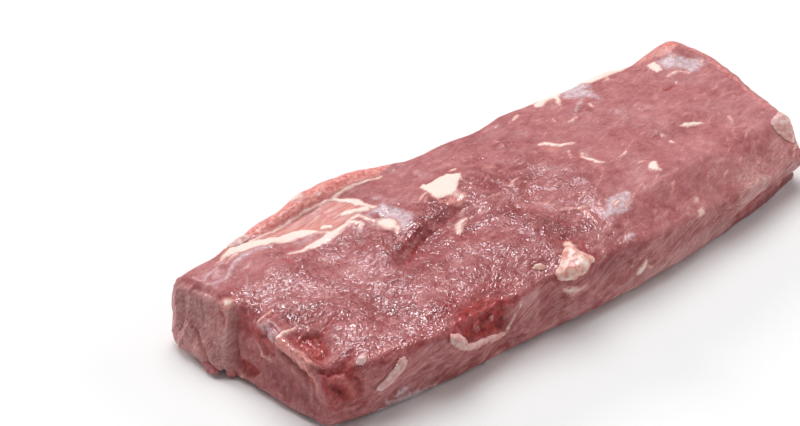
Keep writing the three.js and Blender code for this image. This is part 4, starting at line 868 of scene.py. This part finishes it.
# Silverskin: the thin tough sheet left on the underside, pearly white with a lavender cast. It was
# trimmed by knife, so its edge is ragged and clings a little way up the walls.
SKIN_STANDS = 0.3
mesh.update()
bpy.context.view_layer.update()
bpy.ops.object.select_all(action="DESELECT")
silverskin = body.copy()
silverskin.data = mesh.copy()
silverskin.name = "silverskin"
bpy.context.scene.collection.objects.link(silverskin)
bpy.context.view_layer.objects.active = silverskin
silverskin.select_set(True)
climb = 0.9 + 0.9 * lumps(place, 9.0, 61) + 0.6 * lumps(place, 2.5, 62)
climb += 1.3 * ramp(-90, -84, place[:, 0]) * ramp(-68, -74, place[:, 0]) * ramp(-20, -26, place[:, 1])
above = place[:, 2] > np.maximum(climb, SKIN_THICK + 0.1)
bpy.ops.object.mode_set(mode="EDIT")
bpy.ops.mesh.select_mode(type="VERT")
bpy.ops.mesh.select_all(action="DESELECT")
bpy.ops.object.mode_set(mode="OBJECT")
silverskin.data.vertices.foreach_set("select", above)
bpy.ops.object.mode_set(mode="EDIT")
bpy.ops.mesh.delete(type="VERT")
bpy.ops.object.mode_set(mode="OBJECT")
thickness = silverskin.modifiers.new("skin_thickness", "SOLIDIFY")
thickness.thickness = SKIN_STANDS * MM
thickness.offset = 1.0
bpy.ops.object.modifier_apply(modifier="skin_thickness")

# A smooth sheet with long threads in it, so it has a soft pearly sheen.
THREAD = (20.0 * MM, 1.6 * MM, 1.6 * MM)
CLOUDS_PER_METRE = 90.0
pearly = bpy.data.materials.new("silverskin_pearly")
pearly.use_nodes = True
tree = pearly.node_tree
shader = tree.nodes["Principled BSDF"]
spot = add(tree, "ShaderNodeTexCoord", output="Object")
cells = add(tree, "ShaderNodeMapping", {"vector_type": "TEXTURE"}, {"Vector": spot, "Scale": THREAD})
threads = add(tree, "ShaderNodeTexNoise", None, {"Vector": cells, "Scale": 1.0, "Detail": 4.0})
clouds = add(tree, "ShaderNodeTexNoise", None, {"Vector": spot, "Scale": CLOUDS_PER_METRE, "Detail": 3.0})
colour = linear("#c9a9ab")
for source, low, high, hex_colour in (
    (threads, 0.35, 0.65, "#dccad2"),
    (clouds, 0.5, 0.62, "#b98486"),
    (clouds, 0.44, 0.34, "#f0d7cb"),
):
    share = add(tree, "ShaderNodeMapRange", None, {"Value": source, "From Min": low, "From Max": high})
    colour = add(tree, "ShaderNodeMix", MIX_COLOUR, {0: share, 6: colour, 7: linear(hex_colour)}, 2)
bump = add(tree, "ShaderNodeBump", None, {"Height": threads, "Distance": 0.15 * MM})
tree.links.new(colour, shader.inputs["Base Color"])
tree.links.new(bump, shader.inputs["Normal"])
shader.inputs["Roughness"].default_value = 0.3
shader.inputs["IOR"].default_value = 1.45
silverskin.data.materials.clear()
silverskin.data.materials.append(pearly)
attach(silverskin, "root")

# Curled skin on the right wall: the edge of the membrane, folded over where the trimming knife
# lifted it, thick at the near end and thinning to a thread as it runs up the wall.
LIP_SUNK = 0.35
RUN_UP = 60
LOWEST = 0.05
# Each row is (x, z, radius) in mm.
LIP = [
    (-62, 19.9, 1.5), (-60.2, 19.1, 2.4), (-58.4, 17, 1.9), (-56.6, 14.4, 1.1), (-54, 12.6, 1.0),
    (-51, 12.5, 1.1), (-48.3, 12.3, 0.8), (-45.4, 11.9, 1.0), (-42.6, 11, 0.85), (-40, 10.4, 0.65),
    (-38.4, 11.2, 0.5), (-37.2, 13.4, 0.5), (-35.8, 15.4, 0.45), (-34, 16.8, 0.35), (-32.4, 18, 0.25),
]


def landing(points, towards):
    """Where points in mm come to rest on the meat when they are sent along a direction, in mm."""
    way = np.array(towards, float)
    found = []
    for point in np.array(points, float):
        hit, at, _, _ = body.ray_cast(list((point - RUN_UP * way) * MM), list(way))
        found.append(np.array(at) / MM if hit else point)
    return np.array(found)


def tube(name, rows):
    """A round strand through rows of (x, y, z, radius) in mm, with its end caps joined on."""
    bpy.ops.object.select_all(action="DESELECT")
    bpy.ops.curve.primitive_nurbs_path_add(location=(0.0, 0.0, 0.0))
    strand = bpy.context.object
    strand.name = name
    spline = strand.data.splines[0]
    spline.points.add(len(rows) - len(spline.points))
    for point, (x, y, z, radius) in zip(spline.points, rows):
        point.co = (x * MM, y * MM, z * MM, 1.0)
        point.radius = radius
    strand.data.bevel_depth = MM
    strand.data.bevel_resolution = 4
    strand.data.use_fill_caps = True
    spline.use_endpoint_u = True
    bpy.ops.object.convert(target="MESH")
    bpy.ops.object.mode_set(mode="EDIT")
    bpy.ops.mesh.select_all(action="SELECT")
    bpy.ops.mesh.remove_doubles(threshold=WELD)
    bpy.ops.object.mode_set(mode="OBJECT")
    bpy.ops.object.shade_smooth()
    return bpy.context.object


def roughen(piece, size, much, seed):
    """Pushes the piece's surface in and out by unevenness, in mm."""
    at = np.array([v.co[:] for v in piece.data.vertices]) / MM
    out = np.array([v.normal[:] for v in piece.data.vertices])
    at += out * (much * lumps(at, size, seed))[:, None]
    at[:, 2] = np.maximum(at[:, 2], LOWEST)
    piece.data.vertices.foreach_set("co", (at * MM).ravel())
    piece.data.update()


# Torn membrane: a moist pinkish skin with paler clouds in it, duller than the wet meat.
MEMBRANE_CLOUD = 1.8
membrane = bpy.data.materials.new("torn_membrane")
membrane.use_nodes = True
tree = membrane.node_tree
shader = tree.nodes["Principled BSDF"]
spot = add(tree, "ShaderNodeTexCoord", output="Object")
clouds = {"Vector": spot, "Scale": 1 / (MEMBRANE_CLOUD * MM), "Detail": 4.0}
clouds = add(tree, "ShaderNodeTexNoise", None, clouds)
colour = linear("#d0918a")
for low, high, hex_colour in ((0.36, 0.5, "#dba9a3"), (0.5, 0.64, "#e6c6c3")):
    share = add(tree, "ShaderNodeMapRange", None, {"Value": clouds, "From Min": low, "From Max": high})
    colour = add(tree, "ShaderNodeMix", MIX_COLOUR, {0: share, 6: colour, 7: linear(hex_colour)}, 2)
bump = add(tree, "ShaderNodeBump", None, {"Height": clouds, "Distance": 0.07 * MM})
tree.links.new(colour, shader.inputs["Base Color"])
tree.links.new(bump, shader.inputs["Normal"])
shader.inputs["Roughness"].default_value = 0.5
shader.inputs["IOR"].default_value = 1.4

resting = landing([(x, 0.0, z) for x, z, _ in LIP], (0, 1, 0))
curl = tube("curled_skin", [(x, y - LIP_SUNK * r, z, r) for (x, y, z), (_, _, r) in zip(resting, LIP)])
roughen(curl, 1.6, 0.45, 71)
curl.data.materials.append(membrane)
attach(curl, "root")

# Nubs: soft lumps of fat or membrane left standing where the knife passed, bits of meat in the
# pocket, and red scraps squeezed out under the near end. They cling to the fillet's wet surface.
NUB_SIDES = 40
NUB_RINGS = 24
BROAD_LUMPS = (2.4, 0.7)
SMALL_LUMPS = (1.1, 0.25)
# Each is (name, centre in mm, the way it is pressed on, half sizes in mm, turns about x, y and z
# in degrees, what it is made of).
NUBS = [
    ("cream_nub", (-18.9, -34.4, 0), (0, 0, -1), (2.4, 1.2, 0.7), (14, 0, -35), "fat"),
    ("small_cream_nub", (-29, -36.2, 0), (0, 0, -1), (1.3, 0.6, 0.6), (14, 0, 20), "fat"),
    ("corner_nub", (-90.3, -34.4, 0), (0, 0, -1), (2.5, 1.5, 1.3), (10, 0, 15), "skin"),
    ("seam_flake", (-83.2, 35.2, 0), (0, 0, -1), (4.6, 1.7, 0.8), (-12, 0, 2), "skin"),
    ("pocket_nub", (-49.4, 0, 15.9), (0, 1, 0), (1.1, 0.8, 1.7), (0, 20, 0), "meat"),
    ("small_pocket_nub", (-43, 0, 16.8), (0, 1, 0), (0.8, 0.6, 1.2), (0, 25, 0), "meat"),
    ("foot_scrap", (-100, 12.6, 2.0), (1, 0, 0), (1.6, 4.4, 1.6), (0, 0, 0), "meat"),
    ("small_foot_scrap", (-100, 6.4, 1.6), (1, 0, 0), (1.5, 2.2, 1.2), (0, 0, 0), "meat"),
]

# Fat is waxy and slightly see-through: pale pink with cream clots, and salmon where it is thin.
FAT_CLOT = 2.2
FAT_THREAD = 0.8
fat = bpy.data.materials.new("raw_lamb_fat")
fat.use_nodes = True
tree = fat.node_tree
shader = tree.nodes["Principled BSDF"]
spot = add(tree, "ShaderNodeTexCoord", output="Object")
clots = add(tree, "ShaderNodeTexNoise", None, {"Vector": spot, "Scale": 1 / (FAT_CLOT * MM), "Detail": 4.0})
threads = {"Vector": spot, "Scale": 1 / (FAT_THREAD * MM), "Detail": 2.0}
threads = add(tree, "ShaderNodeTexNoise", None, threads)
colour = linear("#d98d80")
for low, high, hex_colour in ((0.38, 0.5, "#ecb8aa"), (0.52, 0.66, "#f6dcd4")):
    share = add(tree, "ShaderNodeMapRange", None, {"Value": clots, "From Min": low, "From Max": high})
    colour = add(tree, "ShaderNodeMix", MIX_COLOUR, {0: share, 6: colour, 7: linear(hex_colour)}, 2)
bump = add(tree, "ShaderNodeBump", None, {"Height": threads, "Distance": 0.12 * MM})
tree.links.new(colour, shader.inputs["Base Color"])
tree.links.new(bump, shader.inputs["Normal"])
for socket, value in (
    ("Roughness", 0.38),
    ("IOR", 1.45),
    ("Subsurface Weight", 0.2),
    ("Subsurface Radius", (1.0, 0.5, 0.35)),
    ("Subsurface Scale", 1.5 * MM),
):
    shader.inputs[socket].default_value = value
STUFF = {"meat": (raw, "raw_lamb"), "fat": (fat, "lamb_fat"), "skin": (membrane, "silverskin")}

for seed, (name, centre, way, half, turn, made_of) in enumerate(NUBS):
    x, y, z = landing([centre], way)[0]
    bpy.ops.object.select_all(action="DESELECT")
    bpy.ops.mesh.primitive_uv_sphere_add(
        segments=NUB_SIDES,
        ring_count=NUB_RINGS,
        radius=MM,
        location=(x * MM, y * MM, z * MM),
        rotation=[math.radians(t) for t in turn],
        scale=half,
    )
    nub = bpy.context.object
    nub.name = name
    bpy.ops.object.transform_apply(location=True, rotation=True, scale=True)
    bpy.ops.object.shade_smooth()
    roughen(nub, *BROAD_LUMPS, 80 + seed)
    roughen(nub, *SMALL_LUMPS, 90 + seed)
    material, slot = STUFF[made_of]
    nub.data.materials.append(material)
    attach(nub, "root")

# Loose scraps: two thin pinkish tags of membrane where a seam muscle was pulled away, and a flat
# lump of fat on the right shoulder. They lie on the meat and cling to it by their wet undersides.
SCRAP_GRID = 0.35
SCRAP_MARGIN = 0.6
EDGE_WANDERS = 0.35
# Each is (name, side, thickness, how far it lifts, what it is made of, outline in mm on that side).
SCRAPS = [
    ("oval_tag", "side", 1.0, 0.5, "skin", [
        (-88, 11), (-86.8, 10), (-84.4, 10.6), (-81.8, 12.4), (-79.3, 15), (-77.6, 18), (-77.6, 19.8),
        (-79, 20.3), (-81.2, 19.4), (-83.8, 17.5), (-86.4, 14.7), (-87.8, 12.6)]),
    ("shoulder_fat", "shoulder", 1.4, 1.6, "fat", [
        (-4.5, -5.6), (-3, -6), (-3.4, -7.4), (-4.2, -10.3), (-3.4, -12.4), (-1.6, -13.8), (-2.2, -15),
        (-4.4, -15.4), (-6.2, -16.4), (-9, -17.2), (-12, -17.3), (-14.5, -16.4), (-16.8, -15.4),
        (-17.2, -13.6), (-15.4, -12), (-13, -10.8), (-10.6, -9.4), (-8, -7.6), (-6, -6)]),
    ("far_flap", "top", 0.3, 0.05, "skin", [
        (96.3, -24.5), (98, -23), (101, -22.3), (104, -21.2), (106, -21), (105.6, -24), (105, -26.5),
        (103.6, -29), (102, -31.5), (100.5, -33), (99, -32.5), (97.5, -30), (96.3, -27)]),
]
HALFWAY = 0.70711
# For each side, the way of each of its two measures, and the way in.
SIDES = {
    "top": (((1, 0, 0), (0, 1, 0)), (0, 0, -1)),
    "side": (((1, 0, 0), (0, 0, 1)), (0, 1, 0)),
    "shoulder": (((1, 0, 0), (0, HALFWAY, HALFWAY)), (0, HALFWAY, -HALFWAY)),
}
for seed, (name, side, thickness, stands, made_of, outline) in enumerate(SCRAPS):
    bpy.ops.object.select_all(action="DESELECT")
    low = np.min(outline, axis=0) - SCRAP_MARGIN
    high = np.max(outline, axis=0) + SCRAP_MARGIN
    across, along = ((high - low) / SCRAP_GRID).astype(int)
    bpy.ops.mesh.primitive_grid_add(x_subdivisions=int(across), y_subdivisions=int(along), size=1.0)
    scrap = bpy.context.object
    scrap.name = name
    at = np.array([v.co[:] for v in scrap.data.vertices])
    flat = low + (at[:, :2] + 0.5) * (high - low)
    ragged = np.stack([lumps(np.c_[flat, flat[:, 0]], 2.0, s) for s in (1, 2)], axis=1)
    depth = depth_in(flat + EDGE_WANDERS * ragged, outline)
    axes, way_in = SIDES[side]
    rest = landing(flat @ np.array(axes), way_in)
    curl_up = 0.1 + stands * ramp(-0.3, 1.8, depth) * (0.85 + 0.3 * lumps(rest, 4.0, 101 + seed))
    rest -= np.outer(curl_up, way_in)
    scrap.data.vertices.foreach_set("co", (rest * MM).ravel())
    bpy.ops.object.mode_set(mode="EDIT")
    bpy.ops.mesh.select_all(action="DESELECT")
    bpy.ops.object.mode_set(mode="OBJECT")
    scrap.data.vertices.foreach_set("select", depth < 0.0)
    bpy.ops.object.mode_set(mode="EDIT")
    bpy.ops.mesh.delete(type="VERT")
    bpy.ops.mesh.select_all(action="SELECT")
    bpy.ops.mesh.normals_make_consistent(inside=False)
    bpy.ops.object.mode_set(mode="OBJECT")
    for step, kind, settings in (
        ("thickness", "SOLIDIFY", {"thickness": thickness * MM, "offset": 0.0}),
        ("soft_edge", "SUBSURF", {"levels": 1, "render_levels": 1}),
    ):
        modifier = scrap.modifiers.new(step, kind)
        for key, value in settings.items():
            setattr(modifier, key, value)
        bpy.ops.object.modifier_apply(modifier=step)
    bpy.ops.object.shade_smooth()
    material, slot = STUFF[made_of]
    scrap.data.materials.append(material)
    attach(scrap, "root")
